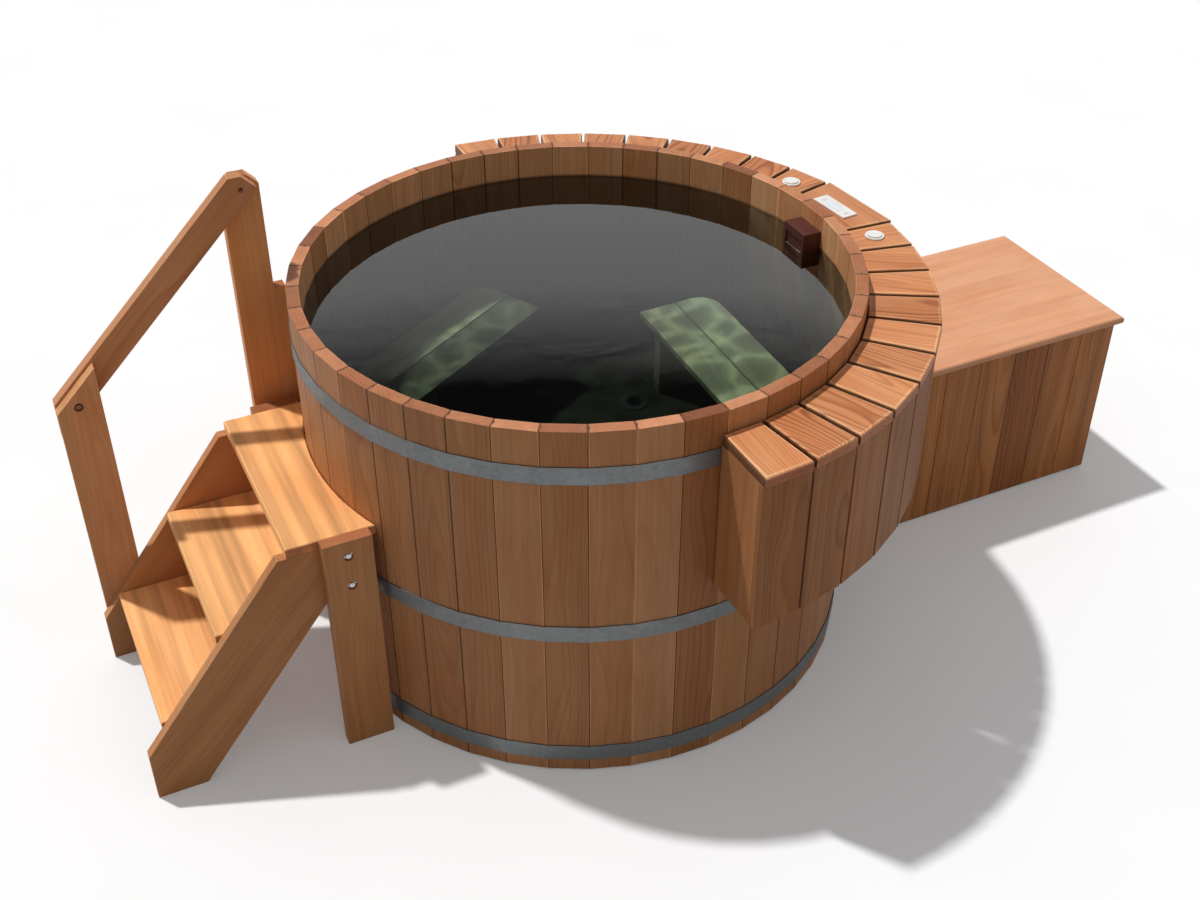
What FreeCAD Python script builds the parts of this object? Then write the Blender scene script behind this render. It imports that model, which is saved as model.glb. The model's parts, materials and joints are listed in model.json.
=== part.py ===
"""Cedar hot tub with entry steps, half-ring shelf, control panel and equipment box.

The origin is on the tub's axis at floor level, +Z is up and +X runs from the steps through
the tub to the equipment box. All lengths are millimetres and all angles degrees.
"""
import FreeCAD, Part
import math
import os
import re

import Sketcher

# Driving sizes: sheet word, value, plain words
SIZES = {
    "tubRadius": (838, "tub axis to the outer faces of the staves"),
    "tubHeight": (1219, "floor to rim"),
    "staveThick": (38, "stave thickness"),
    "staveCount": (43, "number of staves"),
    "staveLift": (5, "staves and wall boards clear of the ground"),
    "jointGap": (0.3, "gap in close board joints"),
    "fitGap": (0.3, "clearance between fitted pieces"),
    "beadRadius": (6, "bead along one stave edge, half a hexagon"),
    "crozeDepth": (10, "groove in the staves that holds the floor"),
    "floorBase": (80, "underside of the tub floor"),
    "floorThick": (38, "tub floor boards"),
    "floorCount": (12, "number of floor boards"),
    "joistCount": (5, "number of joists"),
    "joistPitch": (270, "joist spacing"),
    "joistWide": (89, "joist width"),
    "joistClear": (6, "joist ends clear of the staves"),
    "hoopWide": (54, "hoop band width"),
    "hoopThick": (3, "hoop band thickness"),
    "hoopDrop": (12, "top hoop below the shelf boards"),
    "middleHoop": (516, "lower edge of the middle hoop"),
    "bottomHoop": (50, "lower edge of the bottom hoop"),
    "earStave": (15, "stave that the hoop ears stand on"),
    "hoopOpening": (13, "half the gap between the hoop ends"),
    "earReach": (36, "how far a hoop ear stands out"),
    "earThick": (4, "hoop ear thickness"),
    "roundSides": (12, "flats on hidden round pieces"),
    "buttonSides": (32, "flats on buttons and keys"),
    "smallSides": (10, "flats on bolts, bores and knuckles"),
    "boltRadius": (5, "bolt shank radius"),
    "headRadius": (11, "bolt head radius"),
    "headThick": (7, "bolt head and nut thickness"),
    "benchTop": (548, "seat height"),
    "benchThick": (38, "seat and support thickness"),
    "benchWide": (262, "seat front to back"),
    "benchBack": (196, "seats clear of the staves"),
    "benchLong": (640, "seat side to side"),
    "benchCorner": (75, "rounded back corner of a seat"),
    "benchTurn": (120, "angle from one seat to the next"),
    "benchShift": (55, "right and left seats moved towards the near one"),
    "benchGap": (5, "gap between seat boards"),
    "benchInset": (12, "seat overhang past its supports"),
    "benchStand": (215, "middle of a seat to the middle of a support"),
    "pipeRadius": (30, "pipe outside radius"),
    "pipeWall": (4, "pipe wall"),
    "socketWall": (7, "wall of a pipe fitting"),
    "socketDepth": (20, "depth a pipe enters a fitting"),
    "socketReach": (51, "centre of a fitting to its mouth"),
    "flangeRadius": (54, "wall fitting flange"),
    "flangeThick": (14, "wall fitting flange thickness"),
    "barrelReach": (24, "wall fitting past the outside of the tub"),
    "suctionHeight": (200, "suction line above the ground"),
    "returnHeight": (430, "return line above the ground"),
    "spigotRise": (40, "skimmer outlet above the bottom of its box"),
    "teeReach": (82, "tub wall to the skimmer down pipe"),
    "slotWide": (6, "slot in the suction cover"),
    "nozzleRadius": (14, "opening of the return nozzle"),
    "drainRadius": (28, "floor drain barrel"),
    "drainFlange": (48, "floor drain flange"),
    "drainPlace": (260, "floor drain along the tub"),
    "drainSide": (135, "floor drain across the tub, between two joists"),
    "skimDepth": (62, "skimmer box out from the wall"),
    "skimWide": (114, "skimmer box width"),
    "skimSump": (80, "room under the skimmer basket"),
    "skimDrop": (54, "rim of the skimmer box below the tub's rim"),
    "skimWall": (4, "skimmer box wall"),
    "basketTall": (62, "skimmer basket height"),
    "basketDrop": (22, "basket rim below the skimmer mouth"),
    "basketWall": (2, "skimmer basket wall"),
    "mouthTall": (50, "skimmer mouth height"),
    "mouthDrop": (21, "skimmer mouth below the box's rim"),
    "mouthSide": (12, "wall left beside the skimmer mouth"),
    "weirTall": (44, "weir flap above its hinge"),
    "weirThick": (5, "weir flap thickness"),
    "weirPin": (2.5, "weir pin radius"),
    "skimLid": (5, "skimmer lid thickness"),
    "skimLip": (8, "lip under the skimmer lid"),
    "shelfDrop": (64, "top of the shelf below the tub's rim"),
    "shelfThick": (32, "shelf board thickness"),
    "shelfClear": (2.25, "shelf clear of the staves' corners"),
    "shelfWide": (207.5, "shelf board length, in to out"),
    "shelfStart": (-89.3, "direction where the shelf begins"),
    "panelStart": (-3.5, "direction where the panel board begins"),
    "panelEnd": (14, "direction where the panel board ends"),
    "shelfEnd": (89.3, "direction where the shelf ends"),
    "nearCount": (10, "shelf boards before the panel board"),
    "farCount": (9, "shelf boards after the panel board"),
    "shelfGap": (9, "gap between shelf boards"),
    "shelfEase": (5, "bevelled top edges of the shelf boards"),
    "skirtClear": (9, "skirt above the equipment box"),
    "shelfOver": (5, "shelf boards past the skirt"),
    "skirtThick": (19, "skirt board thickness"),
    "skirtGap": (6, "gap between skirt boards"),
    "ribFirst": (10.7, "direction of the first rib each side"),
    "ribCount": (4, "ribs each side"),
    "ribThick": (24, "rib and end panel thickness"),
    "ribRaise": (6, "ribs above the skirt's lower edge"),
    "hoopClear": (3, "rib notch round the top hoop"),
    "endInset": (0.95, "end panels inside the shelf's ends"),
    "railDeep": (38, "shelf rail height and width"),
    "railRaise": (36, "lower skirt rail above the skirt's lower edge"),
    "panelShift": (0.75, "control panel out from the middle of the shelf"),
    "panelLong": (154, "control panel length"),
    "panelWide": (56, "control panel width"),
    "panelRise": (6, "control panel above the shelf"),
    "panelDeep": (24, "control panel below the shelf top"),
    "panelRim": (9, "panel edge that lies on the board"),
    "displayLong": (66, "display length"),
    "displayWide": (26, "display width"),
    "displayThick": (1.5, "display thickness"),
    "keyRadius": (8, "panel key radius"),
    "keyPlace": (55, "panel centre to a key"),
    "keyRise": (1.5, "key above the panel"),
    "keyDeep": (5, "key below the panel's face"),
    "keyRoom": (2, "room under a key"),
    "buttonShift": (10.75, "push buttons out from the middle of the shelf"),
    "collarRadius": (30, "button collar radius"),
    "collarRise": (6, "button collar above the shelf"),
    "capRadius": (23, "button cap radius"),
    "capRise": (4, "button cap above its collar"),
    "capThick": (5.5, "button cap thickness"),
    "barrelRadius": (14, "button barrel radius"),
    "barrelDeep": (52, "button barrel below the shelf top"),
    "stemRadius": (5, "button stem radius"),
    "stemDeep": (30, "button stem below the shelf top"),
    "nutRadius": (22, "button locknut corner radius"),
    "nutThick": (9, "button locknut thickness"),
    "boxGap": (136, "tub wall to the equipment box"),
    "boxLength": (987, "equipment box length"),
    "boxDepth": (645, "equipment box front to back"),
    "boxCentre": (111.5, "equipment box off the tub's centre line"),
    "boxTop": (617, "top of the box walls"),
    "wallThick": (19, "wall and deck board thickness"),
    "lineClear": (2, "room round a pipe in the box wall"),
    "boxSideCount": (7, "boards in each long wall"),
    "boxEndCount": (4, "boards in the outer end"),
    "frameThick": (38, "box posts and rails"),
    "deckCount": (6, "deck boards"),
    "deckGap": (6, "gap between deck boards"),
    "lidThick": (28, "lid thickness"),
    "lidOver": (12, "lid past the long walls"),
    "lidEndOver": (28, "lid past the outer end"),
    "lidEase": (11, "rounded lid edges"),
    "hingeAhead": (54, "skirt to the lid hinge line"),
    "hingeGap": (1, "lid and top strip each side of the hinge line"),
    "hingeLong": (64, "hinge length"),
    "leafWide": (34, "hinge leaf width"),
    "leafThick": (2.5, "hinge leaf thickness"),
    "knuckleRadius": (4.5, "hinge knuckle radius"),
    "hingePin": (2.5, "hinge pin radius"),
    "hingeSpread": (400, "spacing of the two hinges"),
    "battenWide": (45, "lid batten width"),
    "battenThick": (25, "lid batten thickness"),
    "battenInset": (150, "lid battens from the lid's ends"),
    "battenClear": (8, "lid battens clear of the box frame"),
    "pumpGap": (60, "motor cowl to the filter's locking ring"),
    "inletLong": (40, "pump inlet length"),
    "voluteRadius": (92, "pump volute radius"),
    "voluteLong": (80, "pump volute length"),
    "outletTop": (318, "top of the pump outlet"),
    "motorRadius": (78, "motor radius"),
    "motorLong": (214, "motor length"),
    "cowlRadius": (84, "motor fan cowl radius"),
    "cowlLong": (46, "motor fan cowl length"),
    "footWide": (120, "motor foot width"),
    "footInset": (30, "motor foot from the motor's ends"),
    "crossHeight": (373, "pump to filter line above the ground"),
    "filterInset": (191, "outer end of the box to the filter's axis"),
    "filterRadius": (118, "filter tank radius"),
    "filterDrop": (117, "filter tank below the top of the box walls"),
    "filterCollar": (126, "filter locking ring radius"),
    "collarTall": (30, "filter locking ring height"),
    "domeTall": (38, "filter lid height"),
    "domeRim": (14, "filter lid rim height"),
    "domeTop": (78, "filter lid crown radius"),
    "portLong": (34, "filter port length"),
    "heaterInset": (326, "box wall to the heater"),
    "heaterLong": (330, "heater length"),
    "heaterRadius": (46, "heater body radius"),
    "heaterFlange": (54, "heater end flange radius"),
    "heaterEnd": (40, "heater end flange length"),
    "packLong": (270, "control pack length"),
    "packDeep": (80, "control pack depth"),
    "packTall": (210, "control pack height"),
    "packInset": (360, "box wall to the control pack"),
    "packDrop": (277, "underside of the control pack below the top of the box walls"),
    "packRim": (6, "control pack cover past its housing"),
    "packCover": (18, "control pack cover thickness"),
    "stepRise": (254, "height of one step"),
    "treadThick": (32, "tread thickness"),
    "treadDepth": (280, "lower tread depth"),
    "treadHalf": (303, "half the clear width between stringers"),
    "treadEase": (4, "bevelled tread edges"),
    "lowerRun": (191, "lower tread's front past the middle tread's"),
    "upperRun": (220, "middle tread's front past the top tread's"),
    "topDepth": (186.45, "top tread at the tub's centre line"),
    "noseAhead": (55, "stringer nose past the lower tread's front"),
    "noseTall": (166, "height of the stringer nose"),
    "footLong": (143, "stringer foot"),
    "stringerSlope": (52, "slope of the stringers"),
    "stringerThick": (32, "stringer thickness"),
    "cleatSize": (30, "cleat height and width"),
    "cleatInset": (28, "cleats behind the tread's front"),
    "legClear": (9.3, "stringers and legs clear of the staves"),
    "legWide": (142, "leg width"),
    "legThick": (38, "leg, post and rail thickness"),
    "boltPitch": (104, "spacing of the bolt recesses in the near leg"),
    "boltDrop": (55, "upper bolt recess below the leg's top"),
    "counterRadius": (14, "radius of a bolt recess"),
    "counterDepth": (10, "depth of a bolt recess"),
    "frontPostSet": (13, "front post behind the stringer nose"),
    "frontPostWide": (127, "front post width"),
    "frontPostTop": (915, "front post height at its outer edge"),
    "railFlat": (37, "flat on the top of the hand rail"),
    "railWide": (86, "hand rail depth"),
    "railOver": (12, "hand rail above the front post"),
    "railTop": (1514, "flat top of the hand rail"),
    "railTipSet": (56, "end of the hand rail's flat behind the back post's front"),
    "railBoltRise": (10, "bolt recess above the front post's outer top"),
    "railBoltSet": (62, "bolt recess behind the front post's outer edge"),
    "backPostSet": (23, "back post behind the legs' front"),
    "backPostWide": (147, "back post width at its foot"),
    "backPostStep": (35, "ledge in the back post"),
    "ledgeHeight": (1127, "height of the back post's ledge"),
    "postDrop": (14, "back post below the top of the hand rail"),
    "topClip": (33, "clipped corners of the back post"),
    "spacerDrop": (202, "spacer block's underside below the legs' top"),
    "spacerTall": (170, "spacer block height"),
}

# Sizes in the sheet that follow from the driving ones: sheet word, formula, plain words
FOLLOWS = {
    "shelfTop": ("tubHeight - shelfDrop", "top of the shelf"),
    "topHoop": ("shelfTop - shelfThick - hoopDrop - hoopWide", "lower edge of the top hoop"),
    "benchOuter": ("tubRadius - staveThick - benchBack", "tub axis to the seat's back edge"),
    "benchInner": ("benchOuter - benchWide", "tub axis to the seat's front edge"),
    "skimTop": ("tubHeight - skimDrop", "rim of the skimmer box"),
    "mouthHigh": ("skimTop - mouthDrop", "upper edge of the skimmer mouth"),
    "mouthLow": ("mouthHigh - mouthTall", "lower edge of the skimmer mouth"),
    "basketTop": ("mouthLow - basketDrop", "rim of the skimmer basket"),
    "skimShoulder": ("basketTop - basketTall", "shoulder that carries the basket"),
    "skimLow": ("skimShoulder - skimSump", "bottom of the skimmer box"),
    "skimmerHeight": ("skimLow + spigotRise", "skimmer outlet above the ground"),
    "teeRadius": ("tubRadius + teeReach", "tub axis to the skimmer down pipe"),
    "shelfInner": ("tubRadius / cos(180 / staveCount) + shelfClear", "tub axis to the shelf's inner edge"),
    "shelfOuter": ("shelfInner + shelfWide", "tub axis to the shelf's outer edge"),
    "skirtOuter": ("shelfOuter - shelfOver", "tub axis to the skirt's outer face"),
    "skirtBottom": ("boxTop + lidThick + skirtClear", "lower edge of the skirt"),
    "lowerRail": ("skirtBottom + railRaise", "underside of the lower skirt rail"),
    "panelRadius": ("shelfInner + shelfWide / 2 + panelShift", "tub axis to the control panel"),
    "buttonPlace": ("shelfInner + shelfWide / 2 + buttonShift", "tub axis to the push buttons"),
    "boxStart": ("tubRadius + boxGap", "tub axis to the equipment box"),
    "hingeLine": ("skirtOuter + hingeAhead", "tub axis to the lid hinge line"),
    "heaterStart": ("boxStart + heaterInset", "tub axis to the heater"),
    "filterTop": ("boxTop - filterDrop", "top of the filter tank"),
    "packBase": ("boxTop - packDrop", "underside of the control pack"),
    "topFront": (
        "tubRadius / cos(180 / staveCount) + fitGap + topDepth", "tub axis to the top tread's front"),
    "middleFront": ("topFront + upperRun", "tub axis to the middle tread's front"),
    "lowerFront": ("middleFront + lowerRun", "tub axis to the lower tread's front"),
    "stringerNose": ("lowerFront + noseAhead", "tub axis to the stringer nose"),
    "legBack": (
        "sqrt((tubRadius / cos(180 / staveCount)) ^ 2 - treadHalf ^ 2) + legClear",
        "tub axis to the back of the legs"),
    "legBoltHigh": ("3 * stepRise - boltDrop", "upper bolt recess in the near leg"),
    "legBoltLow": ("legBoltHigh - boltPitch", "lower bolt recess in the near leg"),
    "frontPost": ("stringerNose - frontPostSet", "tub axis to the front post's outer edge"),
    "backPostFront": ("legBack + legWide - backPostSet", "tub axis to the back post's front edge"),
    "backPostBack": ("backPostFront - backPostWide", "tub axis to the back post's lower back edge"),
    "backPostTop": ("railTop - postDrop", "top of the back post"),
    "spacerLow": ("3 * stepRise - spacerDrop", "underside of the spacer block"),
    "railTip": ("backPostFront - railTipSet", "tub axis to the end of the hand rail's flat"),
    "railStart": ("frontPostTop + railOver", "hand rail's upper edge at its lower end"),
    "railRise": (
        "(railTop - railStart) / (frontPost - railTip - railFlat)", "climb of the hand rail over its run"),
    "railBoltLow": ("frontPostTop + railBoltRise", "bolt recess in the front post"),
    "railBoltFar": ("frontPost - railBoltSet", "tub axis to the bolt recess in the front post"),
}

# Shorter names for formulas that several pieces share
INNER = "(tubRadius - staveThick)"
STAVE_ARC = "(360 / staveCount)"
STAVE_TALL = "(tubHeight - staveLift)"
STAVE_MIDDLE = "(tubRadius - staveThick / 2)"
FLOOR_TOP = "(floorBase + floorThick)"
FLOOR_RADIUS = "((tubRadius - staveThick + crozeDepth - fitGap) / cos(180 / staveCount))"
STAVE_CORNER = "(tubRadius / cos(180 / staveCount))"
HOOP_INNER = "((tubRadius + fitGap) / cos(180 / staveCount))"
HOOP_OUTER = "((tubRadius + fitGap + hoopThick) / cos(180 / staveCount))"
BENCH_BASE = "(benchTop - benchThick)"
BENCH_SPLIT = "((benchInner + benchOuter) / 2)"
PIPE_BORE = "(pipeRadius - pipeWall)"
SOCKET = "(pipeRadius + socketWall)"
PIPE_HOLE = "(pipeRadius + fitGap)"
WALL_HOLE = "(pipeRadius + socketWall + fitGap)"
SHELF_UNDER = "(shelfTop - shelfThick)"
NEAR_PITCH = "((panelStart - shelfStart) / nearCount)"
FAR_PITCH = "((shelfEnd - panelEnd) / farCount)"
PANEL_ARC = "(panelEnd - panelStart)"
PANEL_TURN = "((panelStart + panelEnd) / 2)"
NEAR_TURN = "(panelStart - %s / 2)" % NEAR_PITCH
FAR_TURN = "(panelEnd + %s / 2)" % FAR_PITCH
SKIRT_INNER = "(skirtOuter - skirtThick)"
SKIRT_TALL = "(%s - skirtBottom)" % SHELF_UNDER
END_TURN = "(shelfEnd - endInset)"
RIB_PITCH = "((%s - ribFirst) / ribCount)" % END_TURN
RIB_GAP = "(ribThick + 2 * fitGap)"
SKIM_BACK = "(%s - fitGap)" % INNER
SKIM_FRONT = "(%s - skimDepth)" % SKIM_BACK
WEIR_X = "(%s + skimWall + fitGap + weirThick / 2)" % SKIM_FRONT
WEIR_Z = "(mouthLow + weirPin)"
BOX_FRONT = "(boxCentre - boxDepth / 2)"
BOX_BACK = "(boxCentre + boxDepth / 2)"
BOX_END = "(boxStart + boxLength)"
DECK_TOP = "(frameThick + wallThick)"
LID_TOP = "(boxTop + lidThick)"
HINGE_Z = "(boxTop + lidThick + knuckleRadius)"
FILTER_X = "(boxStart + boxLength - filterInset)"
MOTOR_X = "(%s - filterCollar - pumpGap - cowlLong - motorLong)" % FILTER_X
VOLUTE_X = "(%s - voluteLong)" % MOTOR_X
OUTLET_X = "(%s - voluteLong / 2)" % MOTOR_X
PUMP_X = "(%s - inletLong)" % VOLUTE_X
HEATER_END = "(heaterStart + heaterLong)"
TOP_UNDER = "(3 * stepRise - treadThick)"
STRINGER_OUT = "(treadHalf + stringerThick)"
LEG_OUT = "(treadHalf + stringerThick + legThick)"
RAIL_OUT = "(treadHalf + stringerThick + 2 * legThick)"
LEG_FRONT = "(legBack + legWide)"
LEG_MIDDLE = "(legBack + legWide / 2)"
BOLT_HOLE = "(boltRadius + 2 * fitGap)"
PIN_BORE = "((%s + fitGap) / cos(180 / smallSides))"

X_AXIS = FreeCAD.Vector(1, 0, 0)
Y_AXIS = FreeCAD.Vector(0, 1, 0)
Z_AXIS = FreeCAD.Vector(0, 0, 1)
WORD = re.compile(r"[A-Za-z_]\w*")
LEVEL = 0.01

doc = FreeCAD.newDocument("CedarHotTub")
sheet = doc.addObject("Spreadsheet::Sheet", "Sizes")
for row, (alias, (size, words)) in enumerate([*SIZES.items(), *FOLLOWS.items()], 1):
    sheet.set("A%d" % row, words)
    sheet.set("B%d" % row, "=%s" % size)
    sheet.setAlias("B%d" % row, alias)
doc.recompute()

sub_parts = []


def bound(formula):
    """Turn a formula in sheet words into an expression on the sheet."""
    def sheet_word(found):
        word = found.group()
        return "Sizes." + word if word in SIZES or word in FOLLOWS else word

    return WORD.sub(sheet_word, formula)


def value(formula):
    """Work out a formula in sheet words."""
    return float(sheet.evalExpression(bound(formula)))


def keep(thing):
    """Note a finished sub-part for writing."""
    sub_parts.append(thing)
    return thing


def place(thing, x="0", y="0", z="0", turn=None):
    """Bind where a thing stands, turned about the vertical where asked."""
    if turn:
        thing.Placement = FreeCAD.Placement(FreeCAD.Vector(), FreeCAD.Rotation(Z_AXIS, 1))
        thing.setExpression("Placement.Rotation.Angle", bound(turn))
    for axis, formula in zip("xyz", (x, y, z)):
        thing.setExpression("Placement.Base." + axis, bound(formula))
    return thing


def lay(thing, along):
    """Lay a round thing down along X or Y."""
    if along == "X":
        thing.Placement = FreeCAD.Placement(FreeCAD.Vector(), FreeCAD.Rotation(Y_AXIS, 90))
    if along == "Y":
        thing.Placement = FreeCAD.Placement(FreeCAD.Vector(), FreeCAD.Rotation(X_AXIS, -90))


def block(name, length, width, height, x="0", y="0", z="0"):
    """A rectangular piece from its lowest corner."""
    thing = doc.addObject("Part::Box", name)
    for side, formula in (("Length", length), ("Width", width), ("Height", height)):
        thing.setExpression(side, bound(formula))
    return place(thing, x, y, z)


def rod(name, radius, length, x="0", y="0", z="0", along="Z", sides="roundSides"):
    """A round piece, drawn with flats, from the middle of its first end."""
    thing = doc.addObject("Part::Prism", name)
    thing.setExpression("Polygon", bound(sides))
    thing.setExpression("Circumradius", bound(radius))
    thing.setExpression("Height", bound(length))
    lay(thing, along)
    return place(thing, x, y, z)


def pin(name, radius, length, x, y, z, along):
    """A true round hinge pin, from the middle of its first end."""
    thing = doc.addObject("Part::Cylinder", name)
    thing.setExpression("Radius", bound(radius))
    thing.setExpression("Height", bound(length))
    lay(thing, along)
    return place(thing, x, y, z)


def fuse(name, pieces):
    """Join pieces into one solid."""
    thing = doc.addObject("Part::MultiFuse", name)
    thing.Shapes = pieces
    return thing


def gather(name, pieces):
    """Keep separate pieces together in one group."""
    thing = doc.addObject("Part::Compound", name)
    thing.Links = pieces
    return thing


def cut(name, base, tools):
    """Take tools away from a base."""
    thing = doc.addObject("Part::Cut", name)
    thing.Base = base
    thing.Tool = tools[0] if len(tools) == 1 else gather(name + "_tools", tools)
    return thing


def origin(body, role):
    """A body's own origin plane or axis."""
    return next(item for item in body.Origin.OriginFeatures if item.Role == role)


def outline(name, corners, thick, plane="XY_Plane", arch=None):
    """A board cut to a profile: upward from XY, or evenly about XZ. One edge may be an arc about the axis."""
    body = doc.addObject("PartDesign::Body", name)
    sketch = body.newObject("Sketcher::SketchObject", name + "_profile")
    sketch.AttachmentSupport = (origin(body, plane), [""])
    sketch.MapMode = "FlatFace"
    points = [FreeCAD.Vector(value(across), value(up), 0) for across, up in corners]
    ends = []
    for index, start in enumerate(points):
        stop = points[(index + 1) % len(points)]
        if arch and arch[0] == index:
            circle = Part.Circle(FreeCAD.Vector(), Z_AXIS, value(arch[1]))
            first = math.atan2(start.y, start.x)
            last = math.atan2(stop.y, stop.x)
            forward = math.sin(last - first) > 0
            sweep = (first, last) if forward else (last, first)
            sketch.addGeometry(Part.ArcOfCircle(circle, *sweep), False)
            ends.append((1, 2) if forward else (2, 1))
        else:
            sketch.addGeometry(Part.LineSegment(start, stop), False)
            ends.append((1, 2))
    for index in range(len(points)):
        following = (index + 1) % len(points)
        sketch.addConstraint(
            Sketcher.Constraint("Coincident", index, ends[index][1], following, ends[following][0]))
    for index, (corner, point) in enumerate(zip(corners, points)):
        for kind, formula, size in zip(("DistanceX", "DistanceY"), corner, point):
            rule = sketch.addConstraint(Sketcher.Constraint(kind, -1, 1, index, ends[index][0], size))
            sketch.setExpression("Constraints[%d]" % rule, bound(formula))
    if arch:
        rule = sketch.addConstraint(Sketcher.Constraint("Radius", arch[0], value(arch[1])))
        sketch.setExpression("Constraints[%d]" % rule, bound(arch[1]))
    pad = body.newObject("PartDesign::Pad", name + "_board")
    pad.Profile = sketch
    pad.setExpression("Length", bound(thick))
    pad.Midplane = plane == "XZ_Plane"
    doc.recompute()
    return body


def wedge(name, inner, outer, arc, gap, thick, arched=False):
    """One board of a ring, pointing along X, with half a gap taken off each side."""
    half_inner = "(%s * tan(%s / 2) - %s / 2 / cos(%s / 2))" % (inner, arc, gap, arc)
    half_outer = "(%s * tan(%s / 2) - %s / 2 / cos(%s / 2))" % (outer, arc, gap, arc)
    reach = outer
    if arched:
        half_outer = "(%s * sin(%s / 2) - %s / 2)" % (outer, arc, gap)
        reach = "sqrt(%s ^ 2 - %s ^ 2)" % (outer, half_outer)
    corners = [(inner, "-" + half_inner), (reach, "-" + half_outer), (reach, half_outer), (inner, half_inner)]
    return outline(name, corners, thick, arch=(1, outer) if arched else None)


def shape_with(body, kind, name, x="0", y="0", z="0", along="Z", **sizes):
    """Add or take away a simple solid in a body."""
    tool = body.newObject(kind, name)
    lay(tool, along)
    for side, formula in sizes.items():
        tool.setExpression(side, bound(formula))
    place(tool, x, y, z)
    doc.recompute()
    return tool


def ease(body, height, size):
    """Bevel the edges of a board's top face."""
    board = body.Tip
    top = value(height)
    names = []
    for index, edge in enumerate(board.Shape.Edges, 1):
        if abs(edge.BoundBox.ZMin - top) < LEVEL and abs(edge.BoundBox.ZMax - top) < LEVEL:
            names.append("Edge%d" % index)
    bevel = body.newObject("PartDesign::Chamfer", body.Name + "_eased")
    bevel.Base = (board, names)
    bevel.setExpression("Size", bound(size))
    doc.recompute()


def round_corners(body, reach, radius):
    """Round the upright corners of a board that lie furthest along X."""
    board = body.Tip
    far = value(reach)
    names = []
    for index, edge in enumerate(board.Shape.Edges, 1):
        if abs(edge.BoundBox.XMin - far) < LEVEL and edge.BoundBox.YLength < LEVEL:
            names.append("Edge%d" % index)
    corner = body.newObject("PartDesign::Fillet", body.Name + "_rounded")
    corner.Base = (board, names)
    corner.setExpression("Radius", bound(radius))
    doc.recompute()


def spread(body, count, pitch, backwards=False):
    """Repeat a board round the axis."""
    pattern = body.newObject("PartDesign::PolarPattern", body.Name + "_ring")
    pattern.TransformMode = "Whole shape"
    pattern.Axis = (origin(body, "Z_Axis"), [""])
    pattern.Mode = "Spacing"
    pattern.Reversed = backwards
    pattern.setExpression("Offset", bound(pitch))
    pattern.setExpression("Occurrences", bound(count))
    body.Tip = pattern
    doc.recompute()


# Coopered flat-faced staves with bead and cove edges and a croze for the floor
half_turn = "%s / 2" % STAVE_ARC
staves = wedge("staves", INNER, "tubRadius", STAVE_ARC, "jointGap", STAVE_TALL)
bead = shape_with(
    staves, "PartDesign::AdditivePrism", "stave_bead",
    Polygon="6", Circumradius="beadRadius", Height=STAVE_TALL)
place(bead, x="%s * cos(%s) + jointGap / 2 * sin(%s)" % (STAVE_MIDDLE, half_turn, half_turn),
      y="%s * sin(%s) - jointGap / 2 * cos(%s)" % (STAVE_MIDDLE, half_turn, half_turn), turn=half_turn)
cove = shape_with(
    staves, "PartDesign::SubtractivePrism", "stave_cove",
    Polygon="6", Circumradius="beadRadius + 2 * jointGap", Height=STAVE_TALL)
place(cove, x="%s * cos(%s) - jointGap / 2 * sin(%s)" % (STAVE_MIDDLE, half_turn, half_turn),
      y="-%s * sin(%s) - jointGap / 2 * cos(%s)" % (STAVE_MIDDLE, half_turn, half_turn), turn="-" + half_turn)
doc.recompute()
uncrozed = staves.Shape.Volume
shape_with(
    staves, "PartDesign::SubtractiveBox", "croze", x=INNER + " - crozeDepth", y="-2 * staveThick",
    z="floorBase - fitGap - staveLift", Length="2 * crozeDepth", Width="4 * staveThick",
    Height="floorThick + 2 * fitGap")
if staves.Shape.Volume >= uncrozed:
    raise ValueError("the croze cut nothing from the staves")
spread(staves, "staveCount", STAVE_ARC)
for line, height in (("suction", "suctionHeight"), ("skimmer", "skimmerHeight")):
    shape_with(
        staves, "PartDesign::SubtractivePrism", line + "_hole", along="X", x="%s - staveThick" % INNER,
        z=height + " - staveLift", Polygon="roundSides", Circumradius=WALL_HOLE, Height="3 * staveThick")
return_hole = shape_with(
    staves, "PartDesign::SubtractivePrism", "return_hole", along="X",
    x="(%s - staveThick) * cos(%s)" % (INNER, STAVE_ARC),
    y="(%s - staveThick) * sin(%s)" % (INNER, STAVE_ARC), z="returnHeight - staveLift",
    Polygon="roundSides", Circumradius=WALL_HOLE, Height="3 * staveThick")
return_hole.Placement.Rotation = FreeCAD.Rotation(Z_AXIS, value(STAVE_ARC)) * FreeCAD.Rotation(Y_AXIS, 90)
keep(place(staves, z="staveLift"))

# Floor boards sawn from one panel that fits the croze, with the drain's hole, on joists
floor_panel = rod("floor_panel", FLOOR_RADIUS, "floorThick", sides="staveCount")
place(floor_panel, z="floorBase", turn=half_turn)
saw_cuts = [rod("drain_hole", "drainRadius + fitGap", "floorThick", "drainPlace", "drainSide", "floorBase")]
for index in range(1, int(value("floorCount"))):
    saw_cuts.append(block(
        "floor_saw_%d" % index, "jointGap", "2 * tubRadius", "floorThick",
        x="(%d * 2 / floorCount - 1) * %s - jointGap / 2" % (index, FLOOR_RADIUS),
        y="-tubRadius", z="floorBase"))
keep(cut("floor_boards", floor_panel, saw_cuts))
joists = []
for index in range(int(value("joistCount"))):
    middle = "((%d - (joistCount - 1) / 2) * joistPitch)" % index
    half = "sqrt((%s - joistClear) ^ 2 - (abs(%s) + joistWide / 2) ^ 2)" % (INNER, middle)
    joists.append(block(
        "joist_%d" % (index + 1), "2 * " + half, "joistWide", "floorBase",
        x="-" + half, y=middle + " - joistWide / 2"))
keep(gather("floor_joists", joists))
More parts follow.
